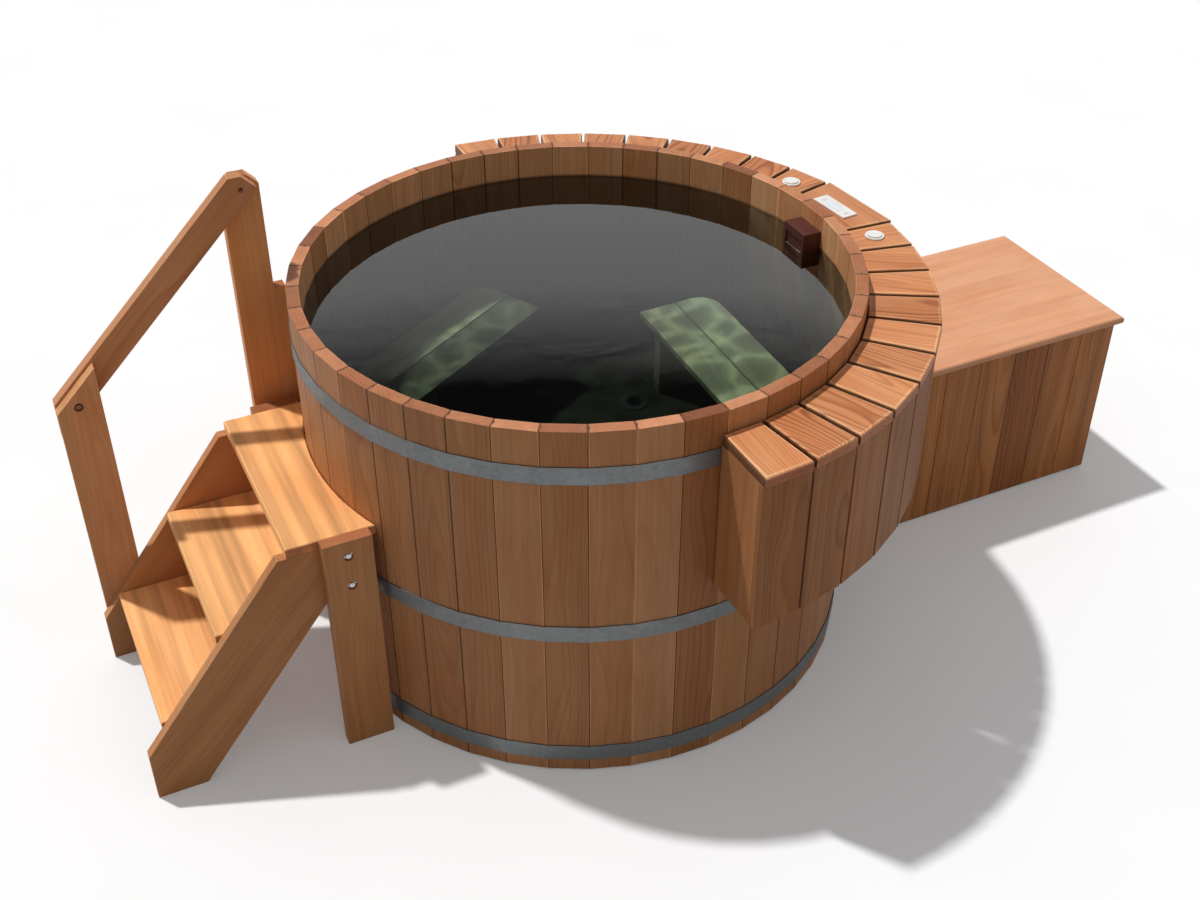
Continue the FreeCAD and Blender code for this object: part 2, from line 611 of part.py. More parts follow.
drain = fuse("drain_shell", [
    rod("drain_barrel", "drainRadius", FLOOR_TOP + " - joistClear", "drainPlace", "drainSide", "joistClear"),
    rod("drain_flange_disc", "drainFlange", "flangeThick / 2", "drainPlace", "drainSide", FLOOR_TOP)])
keep(cut("floor_drain", drain, [
    rod("drain_bore", "drainRadius - pipeWall", "floorBase + tubHeight", "drainPlace", "drainSide")]))

# Hoops that lie flat on the staves, with ears and the bolts that draw them up
bolts = []
ear_turn = "earStave * " + STAVE_ARC
ear_face = "(hoopOpening + earThick)"
ear_middle = "(tubRadius + (earReach + hoopThick) / 2)"
for name, level in (("top_hoop", "topHoop"), ("middle_hoop", "middleHoop"), ("bottom_hoop", "bottomHoop")):
    band = rod(name + "_band", HOOP_OUTER, "hoopWide", sides="staveCount")
    inside = rod(name + "_inside", HOOP_INNER, "hoopWide", sides="staveCount")
    for ring in (band, inside):
        place(ring, turn=half_turn)
    opening = block(
        name + "_opening", "staveThick", "2 * hoopOpening", "hoopWide", x="tubRadius", y="-hoopOpening")
    ears = [
        block("%s_ear_%s" % (name, side), "earReach", "earThick", "hoopWide", x="tubRadius + fitGap", y=y)
        for side, y in (("a", "hoopOpening"), ("b", "-" + ear_face))]
    hoop = cut(name, fuse(name + "_joined", [cut(name + "_ring", band, [inside, opening])] + ears), [
        rod(name + "_bolt_hole", BOLT_HOLE, "2 * " + ear_face, ear_middle, "-" + ear_face, "hoopWide / 2",
            "Y", "smallSides")])
    keep(place(hoop, z=level, turn=ear_turn))
    bolt = fuse(name + "_bolt", [
        rod(name + "_shank", "boltRadius", "2 * " + ear_face, ear_middle, "-" + ear_face, "hoopWide / 2", "Y",
            "smallSides"),
        rod(name + "_head", "headRadius", "headThick", ear_middle, "-%s - headThick" % ear_face,
            "hoopWide / 2", "Y", "6"),
        rod(name + "_nut", "headRadius", "headThick", ear_middle, ear_face, "hoopWide / 2", "Y", "6")])
    bolts.append(place(bolt, z=level, turn=ear_turn))
keep(gather("hoop_bolts", bolts))

def bench_board(name, inner, outer, low, high, thick, base, turn):
    """A board of a seat or of its supports, drawn facing along X and turned to its place."""
    board = outline(name, [(inner, low), (outer, low), (outer, high), (inner, high)], thick)
    return place(board, z=base, turn=turn)


# Straight seats of two boards with rounded back corners, each on two upright supports
seats = []
supports = []
for name, turn, middle in (
        ("right_seat", "0", "-benchShift"), ("left_seat", "benchTurn", "benchShift"),
        ("near_seat", "2 * benchTurn", "0")):
    ends = ("%s - benchLong / 2" % middle, "%s + benchLong / 2" % middle)
    front = bench_board(
        name + "_front", "benchInner", BENCH_SPLIT + " - benchGap / 2", *ends, "benchThick", BENCH_BASE, turn)
    back = bench_board(
        name + "_back", BENCH_SPLIT + " + benchGap / 2", "benchOuter", *ends, "benchThick", BENCH_BASE, turn)
    round_corners(back, "benchOuter", "benchCorner")
    seats += [front, back]
    for side, stand in (("low", middle + " - benchStand"), ("high", middle + " + benchStand")):
        supports.append(bench_board(
            "%s_support_%s" % (name, side), "benchInner + benchInset", "benchOuter - benchInset",
            stand + " - benchThick / 2", stand + " + benchThick / 2", "%s - %s" % (BENCH_BASE, FLOOR_TOP),
            FLOOR_TOP, turn))
keep(gather("bench_seats", seats))
keep(gather("bench_supports", supports))


def wall_fitting(name, openings):
    """A flanged barrel through a stave, bored for its pipe, with a locknut outside, along X at height 0."""
    shell = fuse(name + "_shell", [
        rod(name + "_barrel", SOCKET, "staveThick + flangeThick + barrelReach",
            x="%s - flangeThick" % INNER, along="X"),
        rod(name + "_flange", "flangeRadius", "flangeThick", x="%s - flangeThick" % INNER, along="X"),
        rod(name + "_locknut", "flangeRadius", "flangeThick", x="tubRadius + fitGap", along="X", sides="6")])
    bores = [
        rod(name + "_socket", PIPE_HOLE, "socketDepth", x="tubRadius + barrelReach - socketDepth", along="X"),
        rod(name + "_bore", PIPE_BORE, "staveThick + barrelReach", x=INNER, along="X")]
    return cut(name, shell, bores + openings)


slots = []
for index in range(-2, 3):
    slots.append(block(
        "suction_slot_%d" % (index + 3), "2 * flangeThick", "1.6 * pipeRadius", "slotWide",
        x="%s - 1.5 * flangeThick" % INNER, y="-0.8 * pipeRadius",
        z="%d * 1.5 * slotWide - slotWide / 2" % index))
keep(place(wall_fitting("suction_fitting", slots), z="suctionHeight"))
nozzle = rod("return_opening", "nozzleRadius", "3 * flangeThick", x="%s - 2 * flangeThick" % INNER, along="X")
keep(place(wall_fitting("return_fitting", [nozzle]), z="returnHeight", turn=STAVE_ARC))

# Skimmer box on the inner wall, with lid, weir flap and basket
skim_inside = "(skimWide - 2 * skimWall)"
skim_room = "(skimDepth - 2 * skimWall)"
skim_shell = fuse("skimmer_shell", [
    block("skimmer_case", "skimDepth", "skimWide", "skimTop - skimLow",
          x=SKIM_FRONT, y="-skimWide / 2", z="skimLow"),
    rod("skimmer_spigot", SOCKET, "staveThick + fitGap + barrelReach", x=SKIM_BACK, z="skimmerHeight",
        along="X")])
keep(cut("skimmer_box", skim_shell, [
    block("skimmer_upper_room", skim_room, skim_inside, "skimTop - skimShoulder",
          x=SKIM_FRONT + " + skimWall", y="-%s / 2" % skim_inside, z="skimShoulder"),
    block("skimmer_lower_room", skim_room, skim_inside + " - 2 * mouthSide", "skimTop - skimLow - skimWall",
          x=SKIM_FRONT + " + skimWall", y="mouthSide - %s / 2" % skim_inside, z="skimLow + skimWall"),
    block("skimmer_mouth", "2 * skimWall", "skimWide - 2 * mouthSide", "mouthHigh - mouthLow",
          x=SKIM_FRONT + " - skimWall / 2", y="mouthSide - skimWide / 2", z="mouthLow"),
    rod("weir_pin_hole", PIN_BORE % "weirPin", "skimWide", WEIR_X, "-skimWide / 2", WEIR_Z, "Y",
        "smallSides"),
    rod("spigot_bore", PIPE_BORE, "staveThick + 2 * barrelReach", x=SKIM_BACK + " - 2 * skimWall",
        z="skimmerHeight", along="X"),
    rod("spigot_socket", PIPE_HOLE, "socketDepth", x="tubRadius + barrelReach - socketDepth",
        z="skimmerHeight", along="X")]))
keep(fuse("skimmer_weir", [
    block("weir_plate", "weirThick", skim_inside + " - 4 * fitGap", "weirTall",
          x=WEIR_X + " - weirThick / 2", y="2 * fitGap - %s / 2" % skim_inside, z=WEIR_Z),
    pin("weir_pins", "weirPin", "skimWide - 2 * fitGap", WEIR_X, "fitGap - skimWide / 2", WEIR_Z, "Y")]))
basket_clear = "(skimWall + 2 * fitGap)"
keep(cut("skimmer_basket", block(
    "basket_cup", "skimDepth - 2 * " + basket_clear, "skimWide - 2 * " + basket_clear,
    "basketTop - skimShoulder", x="%s + %s" % (SKIM_FRONT, basket_clear),
    y="%s - skimWide / 2" % basket_clear, z="skimShoulder"), [
    block("basket_room", "skimDepth - 2 * %s - 2 * basketWall" % basket_clear,
          "skimWide - 2 * %s - 2 * basketWall" % basket_clear, "basketTop - skimShoulder",
          x="%s + %s + basketWall" % (SKIM_FRONT, basket_clear),
          y="%s + basketWall - skimWide / 2" % basket_clear, z="skimShoulder + basketWall")]))
keep(fuse("skimmer_lid", [
    block("skimmer_lid_plate", "skimDepth", "skimWide", "skimLid",
          x=SKIM_FRONT, y="-skimWide / 2", z="skimTop"),
    block("skimmer_lid_lip", skim_room + " - 4 * fitGap", skim_inside + " - 4 * fitGap", "skimLip",
          x=SKIM_FRONT + " + skimWall + 2 * fitGap", y="2 * fitGap - %s / 2" % skim_inside,
          z="skimTop - skimLip")]))

# Half-ring shelf boards with the buttons' holes, and the wider board that carries the panel
near_shelf = wedge("near_shelf_boards", "shelfInner", "shelfOuter", NEAR_PITCH, "shelfGap", "shelfThick")
far_shelf = wedge("far_shelf_boards", "shelfInner", "shelfOuter", FAR_PITCH, "shelfGap", "shelfThick")
for boards, count, pitch, turn, backwards in (
        (near_shelf, "nearCount", NEAR_PITCH, NEAR_TURN, True),
        (far_shelf, "farCount", FAR_PITCH, FAR_TURN, False)):
    ease(boards, "shelfThick", "shelfEase")
    spread(boards, count, pitch, backwards)
    shape_with(
        boards, "PartDesign::SubtractivePrism", boards.Name + "_button_hole", x="buttonPlace",
        Polygon="roundSides", Circumradius="barrelRadius + 2 * fitGap", Height="shelfThick")
    place(boards, z=SHELF_UNDER, turn=turn)
keep(gather("shelf_boards", [near_shelf, far_shelf]))
panel_board = wedge("panel_board", "shelfInner", "shelfOuter", PANEL_ARC, "shelfGap", "shelfThick")
ease(panel_board, "shelfThick", "shelfEase")
cutout_wide = "(panelWide - 2 * panelRim + 2 * fitGap)"
cutout_long = "(panelLong - 2 * panelRim + 2 * fitGap)"
shape_with(
    panel_board, "PartDesign::SubtractiveBox", "panel_cutout", x="panelRadius - %s / 2" % cutout_wide,
    y="-%s / 2" % cutout_long, Length=cutout_wide, Width=cutout_long, Height="shelfThick")
keep(place(panel_board, z=SHELF_UNDER, turn=PANEL_TURN))

# Skirt boards under the shelf's outer edge
skirts = []
for name, count, pitch, turn, backwards in (
        ("near_skirt", "nearCount", NEAR_PITCH, NEAR_TURN, True),
        ("panel_skirt", "2", PANEL_ARC + " / 2", "panelStart + %s / 4" % PANEL_ARC, False),
        ("far_skirt", "farCount", FAR_PITCH, FAR_TURN, False)):
    boards = wedge(name, SKIRT_INNER, "skirtOuter", "(%s)" % pitch, "skirtGap", SKIRT_TALL)
    spread(boards, count, pitch, backwards)
    skirts.append(place(boards, z="skirtBottom", turn=turn))
keep(gather("skirt_boards", skirts))

# Ribs notched round the top hoop, end panels, and the rails between them
rib_inner = "(%s + fitGap)" % STAVE_CORNER
rib_notch = "(%s + hoopClear)" % HOOP_OUTER
ribs = []
for name, turn, backwards in (("near_ribs", "-ribFirst", True), ("far_ribs", "ribFirst", False)):
    rib = outline(name, [
        (rib_inner, "skirtBottom + ribRaise"), (SKIRT_INNER + " - fitGap", "skirtBottom + ribRaise"),
        (SKIRT_INNER + " - fitGap", SHELF_UNDER), (rib_inner, SHELF_UNDER),
        (rib_inner, "topHoop + hoopWide + hoopClear"), (rib_notch, "topHoop + hoopWide + hoopClear"),
        (rib_notch, "topHoop - hoopClear"), (rib_inner, "topHoop - hoopClear")],
        "ribThick", plane="XZ_Plane")
    spread(rib, "ribCount", RIB_PITCH, backwards)
    ribs.append(place(rib, turn=turn))
keep(gather("shelf_ribs", ribs))
end_panels = []
for name, turn in (("near_end_panel", "-" + END_TURN), ("far_end_panel", END_TURN)):
    plate = outline(name, [
        (HOOP_OUTER + " + fitGap", "skirtBottom"), (SKIRT_INNER + " - fitGap", "skirtBottom"),
        (SKIRT_INNER + " - fitGap", SHELF_UNDER), (HOOP_OUTER + " + fitGap", SHELF_UNDER)],
        "ribThick", plane="XZ_Plane")
    end_panels.append(place(plate, turn=turn))
keep(gather("end_panels", end_panels))
rail_outer = "(%s - fitGap)" % SKIRT_INNER
rail_top = "(%s - railDeep)" % SHELF_UNDER
rails = []
for side, turn, backwards in (
        ("near", "-ribFirst - %s / 2" % RIB_PITCH, True), ("far", "ribFirst + %s / 2" % RIB_PITCH, False)):
    for name, inner, outer, level, arched in (
            ("inner_rail", "(%s + fitGap)" % HOOP_OUTER, "(shelfInner + railDeep)", rail_top, False),
            ("outer_rail", "(%s - railDeep)" % rail_outer, rail_outer, rail_top, True),
            ("lower_rail", "(%s - railDeep)" % rail_outer, rail_outer, "lowerRail", True)):
        rail = wedge("%s_%s" % (side, name), inner, outer, RIB_PITCH, RIB_GAP, "railDeep", arched)
        spread(rail, "ribCount", RIB_PITCH, backwards)
        rails.append(place(rail, z=level, turn=turn))
for name, level in (("middle_outer_rail", rail_top), ("middle_lower_rail", "lowerRail")):
    rail = wedge(
        name, "(%s - railDeep)" % rail_outer, rail_outer, "(2 * ribFirst)", RIB_GAP, "railDeep", True)
    rails.append(place(rail, z=level))
keep(gather("shelf_rails", rails))

# Control panel with a display and two keys
bezel = block("panel_bezel", "panelWide", "panelLong", "panelRise",
              x="panelRadius - panelWide / 2", y="-panelLong / 2", z="shelfTop")
tray = block("panel_tray", "panelWide - 2 * panelRim", "panelLong - 2 * panelRim", "panelDeep",
             x="panelRadius - panelWide / 2 + panelRim", y="panelRim - panelLong / 2",
             z="shelfTop - panelDeep")
panel_face = "(shelfTop + panelRise)"
recesses = [block(
    "display_recess", "displayWide + 2 * fitGap", "displayLong + 2 * fitGap", "displayThick",
    x="panelRadius - displayWide / 2 - fitGap", y="-displayLong / 2 - fitGap",
    z=panel_face + " - displayThick")]
for index, side in enumerate("-+", 1):
    recesses.append(rod(
        "key_well_%d" % index, "keyRadius + fitGap", "keyDeep + keyRoom", "panelRadius", side + "keyPlace",
        panel_face + " - keyDeep - keyRoom", sides="buttonSides"))
    keep(rod(
        "panel_key_%d" % index, "keyRadius", "keyDeep + keyRise",
        "panelRadius * cos(%s) - (%skeyPlace) * sin(%s)" % (PANEL_TURN, side, PANEL_TURN),
        "panelRadius * sin(%s) + (%skeyPlace) * cos(%s)" % (PANEL_TURN, side, PANEL_TURN),
        panel_face + " - keyDeep", sides="buttonSides"))
keep(place(cut("panel_housing", fuse("panel_shell", [bezel, tray]), recesses), turn=PANEL_TURN))
glass = block("display_glass", "displayWide", "displayLong", "displayThick",
              x="panelRadius - displayWide / 2", y="-displayLong / 2", z=panel_face + " - displayThick")
keep(place(gather("panel_display", [glass]), turn=PANEL_TURN))

# Push buttons: collar and barrel through the board, locknut below, cap with its stem
collar_top = "(shelfTop + collarRise)"
cap_low = "(%s + capRise - capThick)" % collar_top
button_bodies = []
button_nuts = []
for name, turn in (("near_button", NEAR_TURN), ("far_button", FAR_TURN)):
    across = "buttonPlace * cos(%s)" % turn
    along = "buttonPlace * sin(%s)" % turn
    case = fuse(name + "_case", [
        rod(name + "_collar", "collarRadius", "collarRise", across, along, "shelfTop", sides="buttonSides"),
        rod(name + "_barrel", "barrelRadius", "barrelDeep", across, along, "shelfTop - barrelDeep")])
    button_bodies.append(cut(name + "_body", case, [
        rod(name + "_well", "capRadius + fitGap", "collarRise", across, along, "shelfTop + fitGap",
            sides="buttonSides"),
        rod(name + "_stem_bore", "stemRadius + fitGap", "barrelDeep", across, along,
            "shelfTop - stemDeep - collarRise", sides="smallSides")]))
    nut = (across, along, SHELF_UNDER + " - nutThick")
    nut_blank = rod(name + "_nut_blank", "nutRadius", "nutThick", *nut, sides="6")
    button_nuts.append(cut(name + "_nut", nut_blank, [
        rod(name + "_nut_hole", "barrelRadius + fitGap", "nutThick", *nut)]))
    keep(fuse(name, [
        rod(name + "_cap", "capRadius", "capThick", across, along, cap_low, sides="buttonSides"),
        rod(name + "_stem", "stemRadius", cap_low + " - shelfTop + stemDeep", across, along,
            "shelfTop - stemDeep", sides="smallSides")]))
keep(gather("button_bodies", button_bodies))
keep(gather("button_nuts", button_nuts))

# Equipment box: frame, walls, deck and fixed top strip
inside_front = "(%s + wallThick)" % BOX_FRONT
inside_back = "(%s - wallThick)" % BOX_BACK
inside_start = "(boxStart + wallThick)"
inside_end = "(%s - wallThick)" % BOX_END
inside_long = "(boxLength - 2 * wallThick)"
inside_deep = "(boxDepth - 2 * wallThick)"
frame = []
for end_name, x in (("inner", inside_start), ("outer", inside_end + " - frameThick")):
    for side, y in (("front", inside_front), ("back", inside_back + " - frameThick")):
        frame.append(block("post_%s_%s" % (end_name, side), "frameThick", "frameThick", "boxTop", x=x, y=y))
    for level, z in (("low", "0"), ("high", "boxTop - frameThick")):
        frame.append(block(
            "end_rail_%s_%s" % (end_name, level), "frameThick", inside_deep + " - 2 * frameThick",
            "frameThick", x=x, y=inside_front + " + frameThick", z=z))
for side, y in (("front", inside_front), ("back", inside_back + " - frameThick")):
    for level, z in (("low", "0"), ("high", "boxTop - frameThick")):
        frame.append(block(
            "side_rail_%s_%s" % (side, level), inside_long + " - 2 * frameThick", "frameThick", "frameThick",
            x=inside_start + " + frameThick", y=y, z=z))
keep(gather("box_frame", frame))
wall_tall = "(boxTop - staveLift)"
side_boards = []
for side, y in (("front", BOX_FRONT), ("back", inside_back)):
    for index in range(int(value("boxSideCount"))):
        side_boards.append(block(
            "%s_board_%d" % (side, index + 1), "boxLength / boxSideCount - 2 * jointGap", "wallThick",
            wall_tall, x="boxStart + jointGap + %d * boxLength / boxSideCount" % index, y=y, z="staveLift"))
keep(gather("box_side_boards", side_boards))
end_boards = []
for index in range(int(value("boxEndCount"))):
    end_boards.append(block(
        "end_board_%d" % (index + 1), "wallThick", inside_deep + " / boxEndCount - 2 * jointGap", wall_tall,
        x=inside_end, y="%s + jointGap + %d * %s / boxEndCount" % (inside_front, index, inside_deep),
        z="staveLift"))
keep(gather("box_end_boards", end_boards))
line_hole = "(pipeRadius + lineClear)"
keep(cut("box_inner_wall", block(
    "inner_wall_panel", "wallThick", inside_deep + " - 2 * jointGap", wall_tall,
    x="boxStart", y=inside_front + " + jointGap", z="staveLift"), [
    rod("suction_line_hole", line_hole, "3 * wallThick", "boxStart - wallThick", "0", "suctionHeight", "X"),
    rod("return_line_hole", line_hole, "3 * wallThick", "boxStart - wallThick",
        "(boxStart + wallThick / 2) * tan(%s)" % STAVE_ARC, "returnHeight", "X")]))
deck = []
deck_long = "(%s - 2 * frameThick)" % inside_long
for index in range(int(value("deckCount"))):
    deck.append(block(
        "deck_board_%d" % (index + 1), deck_long + " / deckCount - deckGap", inside_deep + " - 2 * fitGap",
        "wallThick",
        x="%s + frameThick + deckGap / 2 + %d * %s / deckCount" % (inside_start, index, deck_long),
        y=inside_front + " + fitGap", z="frameThick"))
keep(gather("box_deck", deck))
keep(block("box_top_strip", "hingeLine - hingeGap - boxStart", "boxDepth + 2 * lidOver", "lidThick",
           x="boxStart", y=BOX_FRONT + " - lidOver", z="boxTop"))

# Lid with rounded edges, its battens, and two butt hinges
lid_start = "(hingeLine + hingeGap)"
lid_end = "(%s + lidEndOver)" % BOX_END
lid = outline("box_lid", [
    (lid_start, BOX_FRONT + " - lidOver"), (lid_end, BOX_FRONT + " - lidOver"),
    (lid_end, BOX_BACK + " + lidOver"), (lid_start, BOX_BACK + " + lidOver")], "lidThick")
lid_board = lid.Tip
hinge_edge = value(lid_start)
lid_edges = []
for index, edge in enumerate(lid_board.Shape.Edges, 1):
    level = edge.BoundBox.ZMax - edge.BoundBox.ZMin < LEVEL
    if level and edge.BoundBox.XMax > hinge_edge + LEVEL:
        lid_edges.append("Edge%d" % index)
lid_round = lid.newObject("PartDesign::Fillet", "lid_rounded")
lid_round.Base = (lid_board, lid_edges)
lid_round.setExpression("Radius", bound("lidEase"))
keep(place(lid, z="boxTop"))
battens = []
for name, x in (("hinge_batten", lid_start + " + battenInset"),
                ("end_batten", inside_end + " - battenInset - battenWide")):
    battens.append(block(
        name, "battenWide", inside_deep + " - 2 * (frameThick + battenClear)", "battenThick", x=x,
        y=inside_front + " + frameThick + battenClear", z="boxTop - battenThick"))
keep(gather("lid_battens", battens))
lid_leaves = []
box_leaves = []
pins = []
third = "(hingeLong / 3)"
room = "knuckleRadius + fitGap"
for hinge, side in ((1, "-"), (2, "+")):
    low = "(boxCentre %s hingeSpread / 2 - hingeLong / 2)" % side

    def barrel(name, radius, start, length):
        """A round piece on the hinge line."""
        return rod("%s_%d" % (name, hinge), radius, length, "hingeLine", start, HINGE_Z, "Y", "smallSides")

    pins.append(pin("hinge_pin_%d" % hinge, "hingePin", "hingeLong", "hingeLine", low, HINGE_Z, "Y"))
    bore = barrel("hinge_bore", PIN_BORE % "hingePin", low, "hingeLong")
    middle = "(%s + %s)" % (low, third)
    high = "(%s + 2 * %s)" % (low, third)
    lid_blank = fuse("lid_hinge_blank_%d" % hinge, [
        block("lid_leaf_%d" % hinge, "leafWide", "hingeLong", "leafThick", "hingeLine", low, LID_TOP),
        barrel("lid_knuckle", "knuckleRadius", middle + " + fitGap", third + " - 2 * fitGap")])
    lid_leaves.append(cut("lid_hinge_%d" % hinge, lid_blank, [
        barrel("lid_room_low", room, low, third + " + fitGap"),
        barrel("lid_room_high", room, high + " - fitGap", third + " + fitGap"), bore]))
    box_blank = fuse("box_hinge_blank_%d" % hinge, [
        block("box_leaf_%d" % hinge, "leafWide", "hingeLong", "leafThick",
              "hingeLine - leafWide", low, LID_TOP),
        barrel("box_knuckle_low", "knuckleRadius", low, third),
        barrel("box_knuckle_high", "knuckleRadius", high, third)])
    box_leaves.append(cut("box_hinge_%d" % hinge, box_blank, [barrel("box_room", room, middle, third), bore]))
keep(gather("lid_hinge_leaves", lid_leaves))
keep(gather("box_hinge_leaves", box_leaves))
keep(gather("hinge_pins", pins))

# Pump: motor with its fan cowl and foot, and the wet end with inlet and outlet
keep(fuse("pump_motor", [
    rod("motor_can", "motorRadius", "motorLong", x=MOTOR_X, z="suctionHeight", along="X"),
    rod("motor_cowl", "cowlRadius", "cowlLong", x=MOTOR_X + " + motorLong", z="suctionHeight", along="X"),
    block("motor_foot", "motorLong - 2 * footInset", "footWide", "suctionHeight - %s" % DECK_TOP,
          x=MOTOR_X + " + footInset", y="-footWide / 2", z=DECK_TOP)]))
wet_end = fuse("wet_end_shell", [
    rod("volute", "voluteRadius", "voluteLong", x=VOLUTE_X, z="suctionHeight", along="X"),
    rod("pump_inlet", SOCKET, "inletLong", x=PUMP_X, z="suctionHeight", along="X"),
    rod("pump_outlet", SOCKET, "outletTop - suctionHeight", x=OUTLET_X, z="suctionHeight")])
keep(cut("pump_wet_end", wet_end, [
    rod("inlet_socket", PIPE_HOLE, "socketDepth", x=PUMP_X, z="suctionHeight", along="X"),
    rod("outlet_socket", PIPE_HOLE, "socketDepth", x=OUTLET_X, z="outletTop - socketDepth")]))

# Filter tank with its ports and lid, heater, and control pack
tank = fuse("filter_shell", [
    rod("filter_can", "filterRadius", "filterTop - %s" % DECK_TOP, x=FILTER_X, z=DECK_TOP),
    rod("filter_ring", "filterCollar", "collarTall", x=FILTER_X, z="filterTop - collarTall"),
    rod("filter_inlet", SOCKET, "filterRadius + portLong", x=FILTER_X + " - filterRadius - portLong",
        z="crossHeight", along="X"),
    rod("filter_outlet", SOCKET, "filterRadius + portLong", x=FILTER_X, z="returnHeight", along="Y")])
keep(cut("filter_tank", tank, [
    rod("filter_inlet_socket", PIPE_HOLE, "socketDepth", x=FILTER_X + " - filterRadius - portLong",
        z="crossHeight", along="X"),
    rod("filter_outlet_socket", PIPE_HOLE, "socketDepth", x=FILTER_X,
        y="filterRadius + portLong - socketDepth", z="returnHeight", along="Y")]))
keep(fuse("filter_lid", [
    rod("filter_lid_rim", "filterRadius", "domeRim", x=FILTER_X, z="filterTop"),
    rod("filter_lid_crown", "domeTop", "domeTall", x=FILTER_X, z="filterTop")]))
heater_shell = fuse("heater_shell", [
    rod("heater_can", "heaterRadius", "heaterLong", x="heaterStart", along="X"),
    rod("heater_flange_a", "heaterFlange", "heaterEnd", x="heaterStart", along="X"),
    rod("heater_flange_b", "heaterFlange", "heaterEnd", x=HEATER_END + " - heaterEnd", along="X")])
keep(place(cut("heater", heater_shell, [
    rod("heater_socket_a", PIPE_HOLE, "socketDepth", x="heaterStart", along="X"),
    rod("heater_socket_b", PIPE_HOLE, "socketDepth", x=HEATER_END + " - socketDepth", along="X")]),
    z="returnHeight", turn=STAVE_ARC))
pack_x = "(boxStart + packInset)"
keep(fuse("control_pack", [
    block("pack_case", "packLong", "packDeep - packCover", "packTall", pack_x, inside_front, "packBase"),
    block("pack_lid", "packLong + 2 * packRim", "packCover", "packTall + 2 * packRim",
          x=pack_x + " - packRim", y=inside_front + " + packDeep - packCover", z="packBase - packRim")]))


def run(name, start, stop, along, x="0", y="0", z="0", radius="pipeRadius"):
    """A straight stretch of pipe or fitting between two places on its own axis."""
    where = {"X": (start, y, z), "Y": (x, start, z), "Z": (x, y, start)}[along]
    return rod(name, radius, "(%s) - (%s)" % (stop, start), *where, along=along)


# Pipework, each line one glued run: suction with the skimmer's down pipe, pump to filter, heater, return
wall_mouth = "tubRadius + barrelReach - socketDepth"
filter_mouth = "(filterRadius + portLong - socketDepth)"
bend_y = "(%s * tan(%s))" % (FILTER_X, STAVE_ARC)
bend_r = "(%s / cos(%s))" % (FILTER_X, STAVE_ARC)
tee = "(teeRadius %s socketReach)"
suction_line = fuse("suction_line", [
    run("suction_pipe", wall_mouth, PUMP_X + " + socketDepth", "X", z="suctionHeight"),
    run("suction_tee", tee % "-", tee % "+", "X", z="suctionHeight", radius=SOCKET),
    run("tee_branch", "suctionHeight", "suctionHeight + socketReach", "Z", x="teeRadius", radius=SOCKET),
    run("down_pipe", "suctionHeight", "skimmerHeight", "Z", x="teeRadius"),
    run("skimmer_elbow", "skimmerHeight - socketReach", "skimmerHeight + " + SOCKET, "Z", x="teeRadius",
        radius=SOCKET),
    run("elbow_branch", tee % "-", "teeRadius", "X", z="skimmerHeight", radius=SOCKET),
    run("skimmer_pipe", wall_mouth, "teeRadius", "X", z="skimmerHeight")])
pump_line = fuse("pump_line", [
    run("outlet_pipe", "outletTop - socketDepth", "crossHeight", "Z", x=OUTLET_X),
    run("outlet_elbow", "crossHeight - socketReach", "crossHeight + " + SOCKET, "Z", x=OUTLET_X,
        radius=SOCKET),
    run("cross_branch", OUTLET_X, OUTLET_X + " + socketReach", "X", z="crossHeight", radius=SOCKET),
    run("cross_pipe", OUTLET_X, "%s - %s" % (FILTER_X, filter_mouth), "X", z="crossHeight")])
heater_line = place(fuse("heater_line", [
    run("heater_pipe", HEATER_END + " - socketDepth", bend_r, "X"),
    run("heater_branch", bend_r + " - socketReach", bend_r, "X", radius=SOCKET)]),
    z="returnHeight", turn=STAVE_ARC)
return_line = place(gather("return_line", [
    run("return_pipe", wall_mouth, "heaterStart + socketDepth", "X")]), z="returnHeight", turn=STAVE_ARC)
filter_line = fuse("filter_line", [
    run("filter_pipe", filter_mouth, bend_y, "Y", x=FILTER_X, z="returnHeight"),
    run("filter_elbow", bend_y + " - socketReach", "%s + %s" % (bend_y, SOCKET), "Y", x=FILTER_X,
        z="returnHeight", radius=SOCKET),
    heater_line])
keep(gather("pipes", [suction_line, pump_line, filter_line, return_line]))

# Steps: stringers with an ear behind each leg
slope = "tan(stringerSlope)"
ear_low = "((stringerNose - footLong - %s) * %s)" % (LEG_FRONT, slope)
stringer_middle = "(treadHalf + stringerThick / 2)"
stringers = []
for name, y in (("near_stringer", "-" + stringer_middle), ("far_stringer", stringer_middle)):
    stringer = outline(name, [
        ("-stringerNose", "0"), ("footLong - stringerNose", "0"), ("-" + LEG_FRONT, ear_low),
        ("-legBack", ear_low), ("-legBack", TOP_UNDER),
        ("(%s - noseTall) / %s - stringerNose" % (TOP_UNDER, slope), TOP_UNDER),
        ("-stringerNose", "noseTall")], "stringerThick", plane="XZ_Plane")
    stringers.append(place(stringer, y=y))
keep(gather("stringers", stringers))

